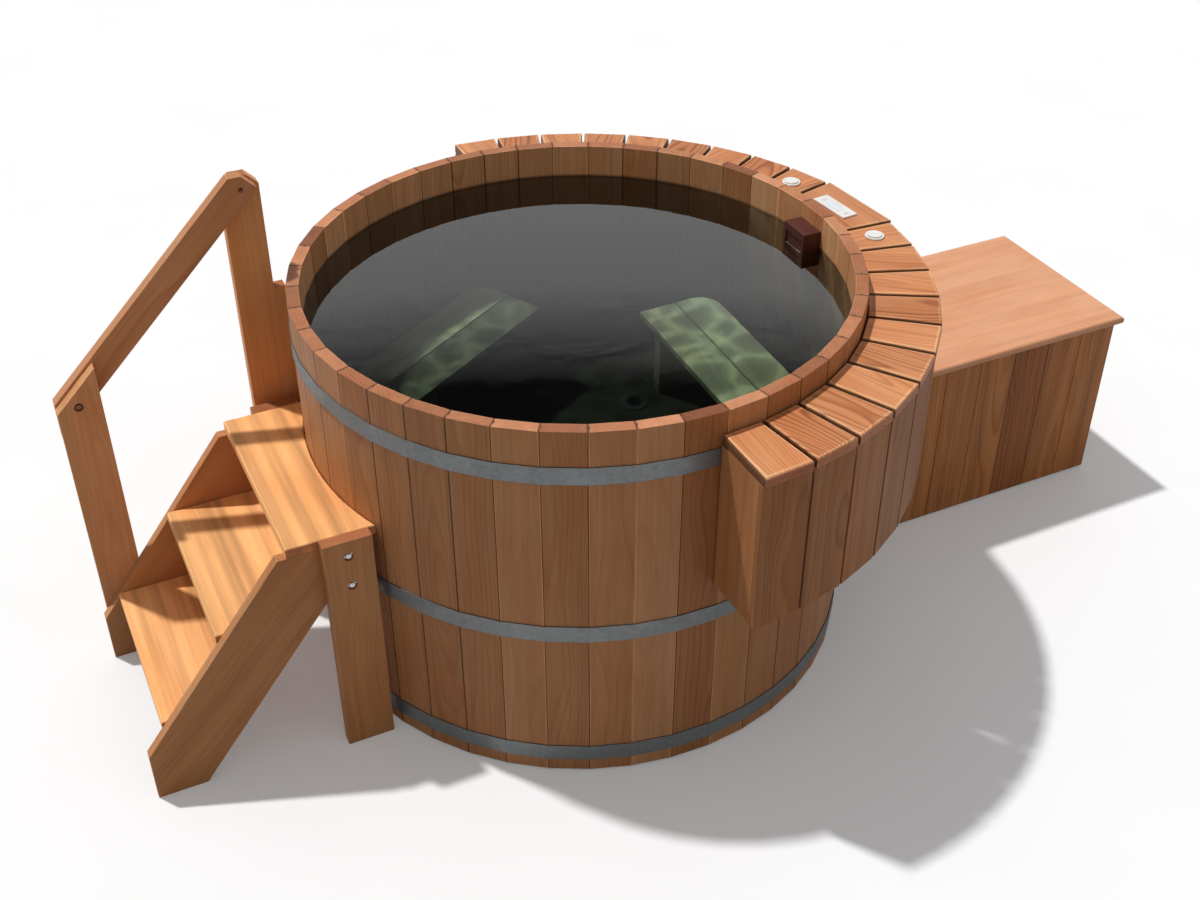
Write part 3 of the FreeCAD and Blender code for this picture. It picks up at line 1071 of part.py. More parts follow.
# Treads, the top one hollowed to the tub's curve, and the cleats under the lower two
treads = []
cleats = []
tread_end = "(treadHalf - fitGap)"
for name, front, level in (("lower_tread", "lowerFront", 1), ("middle_tread", "middleFront", 2)):
    under = "(%d * stepRise - treadThick)" % level
    tread = outline(name, [
        ("-" + front, "-" + tread_end), ("treadDepth - " + front, "-" + tread_end),
        ("treadDepth - " + front, tread_end), ("-" + front, tread_end)], "treadThick")
    ease(tread, "treadThick", "treadEase")
    treads.append(place(tread, z=under))
    for side, y in (("near", "-treadHalf"), ("far", "treadHalf - cleatSize")):
        cleats.append(block(
            "%s_%s_cleat" % (side, name), "treadDepth - 2 * cleatInset", "cleatSize", "cleatSize",
            x="cleatInset - " + front, y=y, z=under + " - cleatSize"))
keep(gather("lower_treads", treads))
keep(gather("tread_cleats", cleats))
top_end = "(%s - fitGap)" % STRINGER_OUT
top_back = "(%s + fitGap)" % STAVE_CORNER
top_corner = "-sqrt(%s ^ 2 - %s ^ 2)" % (top_back, top_end)
top_tread = outline("top_tread", [
    ("-topFront", "-" + top_end), (top_corner, "-" + top_end), (top_corner, top_end), ("-topFront", top_end)],
    "treadThick", arch=(1, top_back))
ease(top_tread, "treadThick", "treadEase")
keep(place(top_tread, z=TOP_UNDER))

# Legs outside the stringers, the near one recessed for its bolt heads
legs = []
leg_middle = "(%s + legThick / 2)" % STRINGER_OUT
for name, y in (("near_leg", "-" + leg_middle), ("far_leg", leg_middle)):
    leg = outline(name, [
        ("-" + LEG_FRONT, "0"), ("-legBack", "0"), ("-legBack", "3 * stepRise"),
        ("-" + LEG_FRONT, "3 * stepRise")], "legThick", plane="XZ_Plane")
    legs.append(place(leg, y=y))
for height in ("legBoltLow", "legBoltHigh"):
    shape_with(
        legs[0], "PartDesign::SubtractivePrism", height + "_recess", x="-" + LEG_MIDDLE, y="-legThick / 2",
        z=height, along="Y", Polygon="roundSides", Circumradius="counterRadius", Height="counterDepth")
keep(gather("step_legs", legs))

# Front post with its sloping top, sloping hand rail, and back post with its ledge and clipped top
rail_tall = "(railWide * sqrt(1 + railRise ^ 2))"
front_post = outline("front_post", [
    ("-frontPost", "0"), ("frontPostWide - frontPost", "0"),
    ("frontPostWide - frontPost", "frontPostTop + frontPostWide * railRise"), ("-frontPost", "frontPostTop")],
    "legThick", plane="XZ_Plane")
shape_with(
    front_post, "PartDesign::SubtractivePrism", "front_post_recess", x="-railBoltFar", y="-legThick / 2",
    z="railBoltLow", along="Y", Polygon="roundSides", Circumradius="counterRadius", Height="counterDepth")
keep(place(front_post, y=leg_middle))
tip_x = "((railTop - railStart + %s - frontPost * railRise - railTip / railRise)" % rail_tall
tip_x += " / (railRise + 1 / railRise))"
hand_rail = outline("hand_rail", [
    ("-frontPost", "railStart - " + rail_tall), (tip_x, "railTop - (%s + railTip) / railRise" % tip_x),
    ("-railTip", "railTop"), ("-railTip - railFlat", "railTop"),
    ("-frontPost", "railStart")],
    "legThick", plane="XZ_Plane")
keep(place(hand_rail, y="%s + legThick / 2" % LEG_OUT))
narrow_x = "-(backPostBack + backPostStep)"
back_post = outline("back_post", [
    ("-backPostFront", "0"), ("-backPostBack", "0"), ("-backPostBack", "ledgeHeight"),
    (narrow_x, "ledgeHeight"), (narrow_x, "backPostTop - topClip"), (narrow_x + " - topClip", "backPostTop"),
    ("topClip - backPostFront", "backPostTop"), ("-backPostFront", "backPostTop - topClip")],
    "legThick", plane="XZ_Plane")
keep(place(back_post, y="%s + legThick / 2" % RAIL_OUT))
spacer = outline("post_spacer", [
    ("-backPostFront", "spacerLow"), (narrow_x, "spacerLow"), (narrow_x, "spacerLow + spacerTall"),
    ("-backPostFront", "spacerLow + spacerTall")], "legThick", plane="XZ_Plane")
keep(place(spacer, y="%s + legThick / 2" % LEG_OUT))

# Check every piece, then write each sub-part
doc.recompute()
for thing in doc.Objects:
    if "Invalid" in thing.State or "Error" in thing.State:
        raise ValueError("%s did not compute" % thing.Label)
os.makedirs("parts", exist_ok=True)
for thing in sub_parts:
    if thing.Shape.isNull() or not thing.Shape.isValid():
        raise ValueError("%s has no valid shape" % thing.Label)
    thing.Shape.exportStep(os.path.join("parts", thing.Label + ".step"))
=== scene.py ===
import json
import math
import random

import bmesh
import bpy
import numpy
from bpy.props import FloatProperty, FloatVectorProperty, PointerProperty
from mathutils import Matrix, Vector

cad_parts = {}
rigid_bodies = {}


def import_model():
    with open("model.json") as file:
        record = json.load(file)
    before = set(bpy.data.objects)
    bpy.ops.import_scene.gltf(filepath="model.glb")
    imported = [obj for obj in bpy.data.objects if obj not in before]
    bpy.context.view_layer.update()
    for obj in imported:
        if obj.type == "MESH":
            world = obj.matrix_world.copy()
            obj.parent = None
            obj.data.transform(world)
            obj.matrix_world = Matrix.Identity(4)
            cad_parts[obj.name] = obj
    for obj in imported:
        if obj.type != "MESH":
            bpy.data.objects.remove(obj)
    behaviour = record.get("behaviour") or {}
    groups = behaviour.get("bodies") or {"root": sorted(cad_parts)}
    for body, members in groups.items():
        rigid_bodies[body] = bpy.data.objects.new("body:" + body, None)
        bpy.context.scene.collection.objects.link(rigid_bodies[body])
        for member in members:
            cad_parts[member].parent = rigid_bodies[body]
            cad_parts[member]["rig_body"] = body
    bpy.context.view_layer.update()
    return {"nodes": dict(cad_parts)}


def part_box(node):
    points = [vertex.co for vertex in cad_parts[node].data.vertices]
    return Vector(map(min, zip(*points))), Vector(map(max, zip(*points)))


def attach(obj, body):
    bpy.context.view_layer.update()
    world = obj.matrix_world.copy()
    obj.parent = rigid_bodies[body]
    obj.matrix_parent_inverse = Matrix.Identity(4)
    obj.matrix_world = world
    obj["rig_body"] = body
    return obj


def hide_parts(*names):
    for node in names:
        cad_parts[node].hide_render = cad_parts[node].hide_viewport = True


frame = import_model()

bl_info = {
    "name": "Cedar Hot Tub",
    "version": (1, 0, 0),
    "blender": (4, 5, 0),
    "location": "3D View > Sidebar > Hot Tub",
    "description": "Finishes a round cedar hot tub with steps, shelf and equipment box for a picture",
    "category": "Object",
}

# Sizes repeated from the part's source, in metres
STAVE_COUNT = 43
STAVE_INNER = 0.800
STAVE_OUTER = 0.838
FLOOR_TOP = 0.118
COUNTERBORE = 0.010

# Bolts of the steps and the rail: how far along and how high, in metres
LEG_BOLT_LOW = (-0.864, 0.603)
LEG_BOLT_HIGH = (-0.864, 0.707)
FRONT_POST_BOLT = (-1.418, 0.925)
BACK_POST_BOLT = (-0.861, 1.474)

# Limits for cleaning a mesh: metres for a weld, radians for flat faces and for corners
WELD = 0.00005
FLAT = 0.004
CORNER = 0.5

# An edge is rounded where it is longer than this many radii
EDGE_SPAN = 2.5

# How squarely a face has to look along a board, or at the next one, to be its end or its gap side
END_FACING = 0.85
GAP_FACING = 0.8

# A stave's rounded strip takes the edge tint (dark joint, painted highlight on pale staves) where it leans
# less than this from upright
EDGE_TINT_LEAN = 0.3

# Depth of the outer and inner edges of a stave, in metres
OUTER_EDGE = 0.002
INNER_EDGE = 0.004

# Where a board lay in its log: aside from the pith, above or below it, and along the log, in metres
PITH_ASIDE = 0.09
PITH_NEAR = 0.02
PITH_FAR = 0.16
LOG_LENGTH = 40

# Boards below this share of ring strength count as pale
PALE_BOARDS = 0.42

# The dark line at a stave's joint, as shares of half a stave's width
CRACK_START = 0.93
CRACK_FULL = 0.98

# Inner faces are this dark under water, as wet wood and as painted shade of the deep water, and change over
# this height in metres
WET_SHADE = 0.25
WET_BAND = 0.01

# How far the water reaches into the wood, so that no gap shows
WATER_LAP = 0.001

# How strongly ripples gather the light under water, and how far they bend it, in metres
LIGHT_GATHERED = 4.4
LIGHT_BENT = 0.09

# Bolt heads: widths as shares of the head's radius, and heights in metres
WASHER_SHARE = 1.3
RAIL_BOLT_SHARE = 0.6
WASHER_PROFILE = ((1.0, 0.0), (1.0, 0.0012), (0.96, 0.0016))
HEAD_PROFILE = ((0.92, 0.0014), (1.0, 0.002), (1.0, 0.0058), (0.86, 0.0068))
WASHER_SIDES = 36
HEAD_SIDES = 6

# The mirrored ceiling dims between these heights of the sky, from 0 to 1, down to this level
CEILING_START = 0.50
CEILING_FULL = 0.555
CEILING_LEVEL = 0.03

# The floor's own glow, and the share of light that it throws back up
FLOOR_GLOW = 0.13
FLOOR_BOUNCE = 0.25

# Light and camera of the picture: places in metres, lens and sensor in millimetres
SUN_WAY = (0.254, -0.368, -1.0)
CAMERA_PLACE = (-1.5989, -3.5084, 3.3774)
CAMERA_AHEAD = (0.3467, 0.7281, -0.5913)
CAMERA_RIGHT = (0.9029, -0.4299, 0.0)
CAMERA_LENS = 45.26
CAMERA_SENSOR = 36.0
CAMERA_REACH = 200.0

# Figure in cedar: its width, its length along the board in metres, and its detail
CEDAR_FIGURES = {
    "lean": (0.2, 0.62, 1.5),
    "stain": (0.11, 0.33, 2.0),
    "band": (0.038, 1.25, 2.0),
    "streak": (0.0067, 0.45, 3.0),
    "fibre": (0.0016, 0.11, 2.0),
}

# Marks that each board of a wooden piece carries for its material
BOARD_MARKS = ("board", "quirk", "edge_wear_and_highlight", "cut_end", "inner", "joint")

# Tones of a batch of boards from the darkest to the palest, as shares of the wood's colour
EVEN = ((0.86, 0.82, 0.78), 0.93, 1.0, 1.03, (1.08, 1.07, 1.05))
SUNNED = ((0.70, 0.62, 0.56), (0.86, 0.80, 0.75), 0.95, 1.0, (1.04, 1.03, 1.02))
MIXED = ((0.56, 0.50, 0.46), (0.78, 0.72, 0.66), 0.92, 1.0, (1.06, 1.02, 0.98), (1.16, 1.16, 1.14))
STAVED = ((0.72, 0.60, 0.50), (0.90, 0.84, 0.78), (0.98, 0.96, 0.94), (1.06, 1.07, 1.08),
          (1.14, 1.22, 1.34))
# The rail keeps its own tone; the paler tones of the front and back posts are painted bounce light from the
# sunlit treads
RAILING = ((1.06, 1.12, 1.3), (1.25, 1.38, 1.6), (1.42, 1.45, 1.4))
# The seats' batch reaches down to a very dark tone for painted shade
SEAT_SHADE_TONES = ((0.16, 0.17, 0.17), (0.42, 0.43, 0.42), 1.0)

# Tones of cut ends from a pale board to one with strong rings, oiled or left dry
OILED_ENDS = ((0.56, 0.40, 0.38), (0.80, 0.64, 0.62), (1.0, 0.90, 0.90))
DRY_ENDS = ((1.25, 1.17, 1.3), (1.02, 0.92, 1.05), (0.58, 0.48, 0.52))

# Where each board lies in its batch, from 0 for the darkest to 1, in order round the tub from -X
STAVE_TONES = (0.5, 0.65, 0.4, 0.45, 0.35, 0.5, 0.78, 0.35, 0.65, 0.95, 0.15, 0.8, 0.5, 0.3)
# The seats' tones are painted shade: the seats that lie in the tub wall's shadow are set dark
SEAT_TONES = (0.4, 0.4, 0.85, 0.88, 1.0, 0.15)
# The run of skirt boards toward the equipment box is set dark as painted shade of the box; the others keep
# the boards' own tones
SKIRT_TONES = (0.5, 0.4, 0.7, 0.3, 0.2, 0.3, 0.1, 0.2, 0.3, 0.4, 0.6)
WALL_TONES = (0.5, 0.7, 0.6, 0.5, 0.05, 0.35, 0.45, 0.6, 0.2, 0.5, 0.7, 0.4, 0.1, 0.5)
SHELF_TONES = (0.9, 0.3, 0.45, 0.85, 0.4, 0.95, 0.2, 0.9, 0.7, 0.8, 0.5, 0.3, 0.75, 0.15, 0.6, 0.35, 0.8,
               0.25, 0.7)


def linear(hex_colour):
    """An sRGB hex colour as linear red, green and blue."""
    parts = [int(hex_colour[i:i + 2], 16) / 255 for i in (1, 3, 5)]
    return tuple(p / 12.92 if p <= 0.04045 else ((p + 0.055) / 1.055) ** 2.4 for p in parts)


def shade(colour, factor):
    """A lighter or darker colour for a shader socket."""
    if not isinstance(factor, tuple):
        factor = (factor,) * 3
    return tuple(min(1.0, c * f) for c, f in zip(colour, factor)) + (1.0,)


def add(tree, kind, inputs=None, ramp=None, **settings):
    """Add a node, set it, and fill or link its inputs."""
    node = tree.nodes.new("ShaderNode" + kind)
    for key, setting in settings.items():
        setattr(node, key, setting)
    for key, source in (inputs or {}).items():
        if isinstance(source, bpy.types.NodeSocket):
            tree.links.new(source, node.inputs[key])
        else:
            node.inputs[key].default_value = source
    if ramp:
        stops = node.color_ramp.elements
        while len(stops) < len(ramp):
            stops.new(0.5)
        for stop, (place, colour) in zip(stops, ramp):
            stop.position = place
            stop.color = colour
    return node


def new_material(name):
    """An empty material with its output and surface nodes."""
    material = bpy.data.materials.new(name)
    material.use_nodes = True
    tree = material.node_tree
    tree.nodes.clear()
    out = add(tree, "OutputMaterial")
    surface = add(tree, "BsdfPrincipled")
    tree.links.new(surface.outputs[0], out.inputs["Surface"])
    return material, tree, surface


def growth_rings(tree, grain, sway, ring):
    """The dark late wood, 0 to 1, of the year rings that a board is cut through."""
    lean = add(tree, "VectorMath", {0: sway, 1: (0.5, 0.5, 0.5)}, operation="SUBTRACT").outputs[0]
    lean = add(tree, "VectorMath", {0: lean, "Scale": 0.075}, operation="SCALE").outputs[0]
    log = add(tree, "VectorMath", {0: grain, 1: lean}, operation="ADD").outputs[0]
    log = add(tree, "VectorMath", {0: log, 1: (1.0, 1.0, 0.0)}, operation="MULTIPLY").outputs[0]
    out_from_pith = add(tree, "VectorMath", {0: log}, operation="LENGTH").outputs["Value"]
    years = add(tree, "Math", {0: out_from_pith, 1: ring}, operation="DIVIDE").outputs[0]
    year = add(tree, "Math", {0: years}, operation="FLOOR").outputs[0]
    season = add(tree, "Math", {0: years}, operation="FRACT").outputs[0]
    growth = add(tree, "TexWhiteNoise", {"W": year}, noise_dimensions="1D").outputs["Value"]
    late_wood = add(tree, "ValToRGB", {"Fac": season}, ramp=(
        (0.0, (0.25, 0.25, 0.25, 1)), (0.14, (0.0, 0.0, 0.0, 1)), (0.55, (0.22, 0.22, 0.22, 1)),
        (0.9, (1, 1, 1, 1)), (1.0, (0.3, 0.3, 0.3, 1)))).outputs["Color"]
    strong = add(tree, "MapRange", {"Value": growth, "To Min": 0.15, "To Max": 1.0}).outputs[0]
    return add(tree, "Math", {0: late_wood, 1: strong}, operation="MULTIPLY").outputs[0]


def cedar(name, colour, shades, ring=0.009, contrast=0.5, rough=0.5, edge=(1.1, 1.14, 1.18), pale_edge=None,
          figure=0.08, inside=(1.0, 1.0, 1.0), waterline=None, shine=0.3, ends=OILED_ENDS):
    """Western red cedar, planed and oiled.

    The saw opens the growth rings as lines and arches, the planer leaves fine fibre, and each board
    comes from another log, so it has its own tone; the tones of some batches, and the edge and inner
    face tints, are painted light and shade where they are set so. Rings of 2 mm and fibre of 0.3 mm
    are drawn wider so that they show.
    """
    material, tree, surface = new_material(name)
    grain = add(tree, "Attribute", attribute_name="grain").outputs["Vector"]
    board, quirk, edge_wear_and_highlight, cut_end, inner, joint = (
        add(tree, "Attribute", attribute_name=mark).outputs["Fac"] for mark in BOARD_MARKS)
    noise = {}
    for word, (width, length, detail) in CEDAR_FIGURES.items():
        scale = (1 / width, 1 / width, 1 / length)
        drawn = add(tree, "Mapping", {"Vector": grain, "Scale": scale}).outputs[0]
        noise[word] = add(tree, "TexNoise", {"Vector": drawn, "Scale": 1.0, "Detail": detail}).outputs
    rings = growth_rings(tree, grain, noise["lean"]["Color"], ring)

    # The board's tone (its own, painted shade and light for the seats, the skirt by the box and the rail
    # posts), redder where heart wood shows, and darker in the late wood
    steps = [(i / (len(shades) - 1), shade(colour, s)) for i, s in enumerate(shades)]
    tone = add(tree, "ValToRGB", {"Fac": board}, ramp=steps).outputs["Color"]
    heart = add(tree, "VectorMath", {0: tone, 1: (0.93, 0.82, 0.72)}, operation="MULTIPLY").outputs[0]
    heart_share = add(tree, "MapRange", {"Value": noise["stain"]["Fac"], "From Min": 0.4,
                                         "From Max": 0.7}).outputs[0]
    wood = add(tree, "Mix", {0: heart_share, 6: tone, 7: heart}, data_type="RGBA").outputs[2]
    late = add(tree, "VectorMath", {0: wood, 1: (0.60, 0.46, 0.36)}, operation="MULTIPLY").outputs[0]
    showing = add(tree, "MapRange", {"Value": quirk, "To Min": 0.35 * contrast,
                                     "To Max": 1.5 * contrast}).outputs[0]
    ring_share = add(tree, "Math", {0: rings, 1: showing}, operation="MULTIPLY").outputs[0]
    wood = add(tree, "Mix", {0: ring_share, 6: wood, 7: late}, data_type="RGBA").outputs[2]
    for word, share in (("band", figure), ("streak", 0.05), ("fibre", 0.05)):
        level = add(tree, "MapRange", {"Value": noise[word]["Fac"], "From Min": 0.3, "From Max": 0.7,
                                       "To Min": 1 - share, "To Max": 1 + share}).outputs[0]
        wood = add(tree, "VectorMath", {0: wood, "Scale": level}, operation="SCALE").outputs[0]

    # Rounded edges take a tint: a pale tint is a painted highlight where the edge catches the light, a dark
    # tint is dirt in the edge and the dark joint between staves; a pale board may take another tint than a
    # dark one
    tint = edge
    if pale_edge:
        pale_board = add(tree, "Math", {0: quirk, 1: PALE_BOARDS}, operation="LESS_THAN").outputs[0]
        tint = add(tree, "Mix", {0: pale_board, 6: (*edge, 1), 7: (*pale_edge, 1)},
                   data_type="RGBA").outputs[2]
    rubbed_and_highlit = add(tree, "VectorMath", {0: wood, 1: tint}, operation="MULTIPLY").outputs[0]
    wood = add(tree, "Mix", {0: edge_wear_and_highlight, 6: wood, 7: rubbed_and_highlit}, data_type="RGBA").outputs[2]

    # Inner faces take a tint of their own, which is painted fill light on the stave insides and painted shade
    # in the shelf's gaps, and stay dark below a water line
    within = add(tree, "VectorMath", {0: wood, 1: inside}, operation="MULTIPLY").outputs[0]
    if waterline:
        # Below the water line the wood is darkened: wet wood, and painted shade of the deep water
        height = add(tree, "SeparateXYZ", {0: add(tree, "TexCoord").outputs["Object"]}).outputs["Z"]
        wet = add(tree, "MapRange", {"Value": height, "From Min": waterline,
                                     "From Max": waterline + WET_BAND, "To Min": WET_SHADE,
                                     "To Max": 1.0}).outputs[0]
        within = add(tree, "VectorMath", {0: within, "Scale": wet}, operation="SCALE").outputs[0]
    wood = add(tree, "Mix", {0: inner, 6: wood, 7: within}, data_type="RGBA").outputs[2]

    # Cut ends drink more oil, and a dark line shows where two staves meet
    thirst = add(tree, "ValToRGB", {"Fac": quirk}, ramp=[
        (place, (*shown, 1)) for place, shown in zip((0.0, 0.5, 1.0), ends)]).outputs["Color"]
    sawn = add(tree, "VectorMath", {0: wood, 1: thirst}, operation="MULTIPLY").outputs[0]
    near_joint = add(tree, "Math", {0: joint}, operation="ABSOLUTE").outputs[0]
    crack = add(tree, "MapRange", {"Value": near_joint, "From Min": CRACK_START, "From Max": CRACK_FULL,
                                   "To Min": 1.0, "To Max": 0.3}).outputs[0]
    sawn = add(tree, "VectorMath", {0: sawn, "Scale": crack}, operation="SCALE").outputs[0]
    wood = add(tree, "Mix", {0: cut_end, 6: wood, 7: sawn}, data_type="RGBA").outputs[2]

    matt = add(tree, "MapRange", {"Value": noise["streak"]["Fac"], "From Min": 0.3, "From Max": 0.7,
                                  "To Min": rough + 0.08, "To Max": rough - 0.06}).outputs[0]
    raised = add(tree, "Math", {0: noise["fibre"]["Fac"], 1: 0.5, 2: rings}, operation="MULTIPLY_ADD")
    relief = add(tree, "Bump", {"Height": raised.outputs[0], "Strength": 0.22, "Distance": 0.0006}).outputs[0]
    surface.inputs["Specular IOR Level"].default_value = shine
    for socket, source in (("Base Color", wood), ("Roughness", matt), ("Normal", relief)):
        tree.links.new(source, surface.inputs[socket])
    return material


def moulded(name, colour, rough, flow_width=0.07, grit=0.002):
    """Moulded plastic: even colour with faint flow marks and the fine pitting of the mould.

    Pits of 0.3 mm are drawn as coarse as the grit so that they show.
    """
    material, tree, surface = new_material(name)
    place = add(tree, "TexCoord").outputs["Object"]
    flow = add(tree, "TexNoise", {"Vector": place, "Scale": 1 / flow_width, "Detail": 3.0}).outputs["Fac"]
    pits = add(tree, "TexNoise", {"Vector": place, "Scale": 1 / grit, "Detail": 2.0}).outputs["Fac"]
    tint = add(tree, "ValToRGB", {"Fac": flow}, ramp=(
        (0.25, shade(colour, 0.9)), (0.75, shade(colour, 1.05)))).outputs["Color"]
    dull = add(tree, "MapRange", {"Value": flow, "From Min": 0.3, "From Max": 0.7, "To Min": rough - 0.06,
                                  "To Max": rough + 0.08}).outputs[0]
    relief = add(tree, "Bump", {"Height": pits, "Strength": 0.08, "Distance": 0.0004}).outputs[0]
    for socket, source in (("Base Color", tint), ("Roughness", dull), ("Normal", relief)):
        tree.links.new(source, surface.inputs[socket])
    return material


def metal(name, colour, rough, flake=0.012, stretch=(1.0, 1.0, 1.0), metallic=1.0, haze_width=0.11):
    """Rolled, plated or painted steel: crystal flakes or brush lines change its tone and its shine.

    Flakes of a few millimetres show as they are; brush lines of 0.1 mm are drawn as wide as the flake.
    """
    material, tree, surface = new_material(name)
    place = add(tree, "TexCoord").outputs["Object"]
    drawn = add(tree, "Mapping", {"Vector": place, "Scale": stretch}).outputs[0]
    flakes = add(tree, "TexVoronoi", {"Vector": drawn, "Scale": 1 / flake, "Randomness": 1.0})
    tone = add(tree, "TexWhiteNoise", {"Vector": flakes.outputs["Color"]}).outputs["Value"]
    haze = add(tree, "TexNoise", {"Vector": drawn, "Scale": 1 / haze_width, "Detail": 4.0}).outputs["Fac"]
    both = add(tree, "Math", {0: tone, 1: 0.35, 2: haze}, operation="MULTIPLY_ADD").outputs[0]
    tint = add(tree, "ValToRGB", {"Fac": both}, ramp=(
        (0.3, shade(colour, 0.88)), (0.95, shade(colour, 1.12)))).outputs["Color"]
    dull = add(tree, "MapRange", {"Value": both, "From Min": 0.3, "From Max": 0.95, "To Min": rough + 0.07,
                                  "To Max": rough - 0.07}).outputs[0]
    relief = add(tree, "Bump", {"Height": haze, "Strength": 0.06, "Distance": 0.0005}).outputs[0]
    surface.inputs["Metallic"].default_value = metallic
    for socket, source in (("Base Color", tint), ("Roughness", dull), ("Normal", relief)):
        tree.links.new(source, surface.inputs[socket])
    return material


def still_water(name, colour, depth_colour, density, ripple=0.18, thread_gap=0.125):
    """Filtered bath water: a still surface, with a film of oil, that mirrors the room, and green depths.

    Slow ripples bend the light, so bright threads lie on the seats below.
    """
    material, tree, surface = new_material(name)
    place = add(tree, "TexCoord").outputs["Object"]
    swell = add(tree, "TexNoise", {"Vector": place, "Scale": 1 / ripple, "Detail": 2.0, "Distortion": 0.6})
    relief = add(tree, "Bump", {"Height": swell.outputs["Fac"], "Strength": 0.04, "Distance": 0.02})
    for socket, setting in (("Base Color", shade(colour, 1.0)), ("Roughness", 0.015), ("IOR", 1.333),
                            ("Specular IOR Level", 1.0), ("Coat Weight", 0.6), ("Coat Roughness", 0.015),
                            ("Transmission Weight", 1.0)):
        surface.inputs[socket].default_value = setting
    tree.links.new(relief.outputs[0], surface.inputs["Normal"])

    # Light on its way to the lamp passes through a net of bright threads
    bend = add(tree, "VectorMath", {0: swell.outputs["Color"], "Scale": LIGHT_BENT}, operation="SCALE")
    bent = add(tree, "VectorMath", {0: place, 1: bend.outputs[0]}, operation="ADD").outputs[0]
    net = add(tree, "TexVoronoi", {"Vector": bent, "Scale": 1 / thread_gap}, feature="DISTANCE_TO_EDGE")
    threads = add(tree, "ValToRGB", {"Fac": net.outputs["Distance"]}, ramp=(
        (0.0, shade(colour, 1.0)), (0.06, shade(colour, 0.42)), (0.3, shade(colour, 0.2)))).outputs["Color"]
    focused = add(tree, "VectorMath", {0: threads, "Scale": LIGHT_GATHERED}, operation="SCALE").outputs[0]
    through = add(tree, "BsdfTransparent", {"Color": focused}).outputs[0]
    to_lamp = add(tree, "LightPath").outputs["Is Shadow Ray"]
    both = add(tree, "MixShader", {0: to_lamp, 1: surface.outputs[0], 2: through}).outputs[0]
    depth = add(tree, "VolumeAbsorption", {"Color": shade(depth_colour, 1.0), "Density": density}).outputs[0]
    out = tree.nodes["Material Output"]
    tree.links.new(both, out.inputs["Surface"])
    tree.links.new(depth, out.inputs["Volume"])
    return material


def seen_rays(tree):
    """1 for the rays that show a surface to the eye, directly, mirrored or through water."""
    path = add(tree, "LightPath").outputs
    seen = path["Is Camera Ray"]
    for kind in ("Is Glossy Ray", "Is Transmission Ray"):
        seen = add(tree, "Math", {0: seen, 1: path[kind]}, operation="MAXIMUM").outputs[0]
    first = add(tree, "Math", {0: path["Diffuse Depth"], 1: 0.5}, operation="LESS_THAN").outputs[0]
    return add(tree, "Math", {0: seen, 1: first}, operation="MULTIPLY").outputs[0]


def studio_paint(patch_width=0.77):
    """Matt white studio paint: nearly even, white to the eye, and throwing little light back up."""
    material, tree, surface = new_material("white_studio_paint")
    place = add(tree, "TexCoord").outputs["Object"]
    patch = add(tree, "TexNoise", {"Vector": place, "Scale": 1 / patch_width, "Detail": 3.0}).outputs["Fac"]
    paint = add(tree, "ValToRGB", {"Fac": patch}, ramp=(
        (0.3, shade(linear("#EDEDED"), 1.0)), (0.7, shade(linear("#F0F0F0"), 1.0)))).outputs["Color"]
    seen = seen_rays(tree)
    thrown_back = shade(linear("#FFFFFF"), FLOOR_BOUNCE)
    paint = add(tree, "Mix", {0: seen, 6: thrown_back, 7: paint}, data_type="RGBA").outputs[2]
    glow = add(tree, "Math", {0: seen, 1: FLOOR_GLOW}, operation="MULTIPLY").outputs[0]
    for socket, setting in (("Emission Color", (1, 1, 1, 1)), ("Roughness", 0.9),
                            ("Specular IOR Level", 0.0)):
        surface.inputs[socket].default_value = setting
    tree.links.new(paint, surface.inputs["Base Color"])
    tree.links.new(glow, surface.inputs["Emission Strength"])
    return material


def white_room(fill):
    """A white room with an even fill light, and a dim ceiling where it is mirrored."""
    world = bpy.data.worlds.new("white_room")
    world.use_nodes = True
    tree = world.node_tree
    tree.nodes.clear()
    level = add(tree, "MapRange", {"Value": seen_rays(tree), "To Min": fill, "To Max": 1.0}).outputs[0]
    up = add(tree, "SeparateXYZ", {0: add(tree, "TexCoord").outputs["Generated"]}).outputs["Z"]
    ceiling = add(tree, "MapRange", {"Value": up, "From Min": CEILING_START, "From Max": CEILING_FULL,
                                     "To Min": 1.0, "To Max": CEILING_LEVEL}).outputs[0]
    mirrored = add(tree, "LightPath").outputs["Is Glossy Ray"]
    ceiling = add(tree, "Mix", {0: mirrored, 2: 1.0, 3: ceiling}).outputs[0]
    level = add(tree, "Math", {0: level, 1: ceiling}, operation="MULTIPLY").outputs[0]
    glow = add(tree, "Background", {"Color": (1, 1, 1, 1), "Strength": level}).outputs[0]
    add(tree, "OutputWorld", {"Surface": glow})
    return world


def boards_of(bm):
    """The separate solids of a mesh, as lists of vertices, in order round the tub."""
    left = set(bm.verts)
    boards = []
    for first in bm.verts:
        if first not in left:
            continue
        board, front = [], [first]
        left.discard(first)
        while front:
            corner = front.pop()
            board.append(corner)
            for edge in corner.link_edges:
                other = edge.other_vert(corner)
                if other in left:
                    left.discard(other)
                    front.append(other)
        boards.append(board)

    def order(board):
        middle = sum((v.co for v in board), Vector()) / len(board)
        return (round(math.atan2(middle.y, middle.x), 3), round(middle.x, 3), round(middle.z, 3))

    return sorted(boards, key=order)


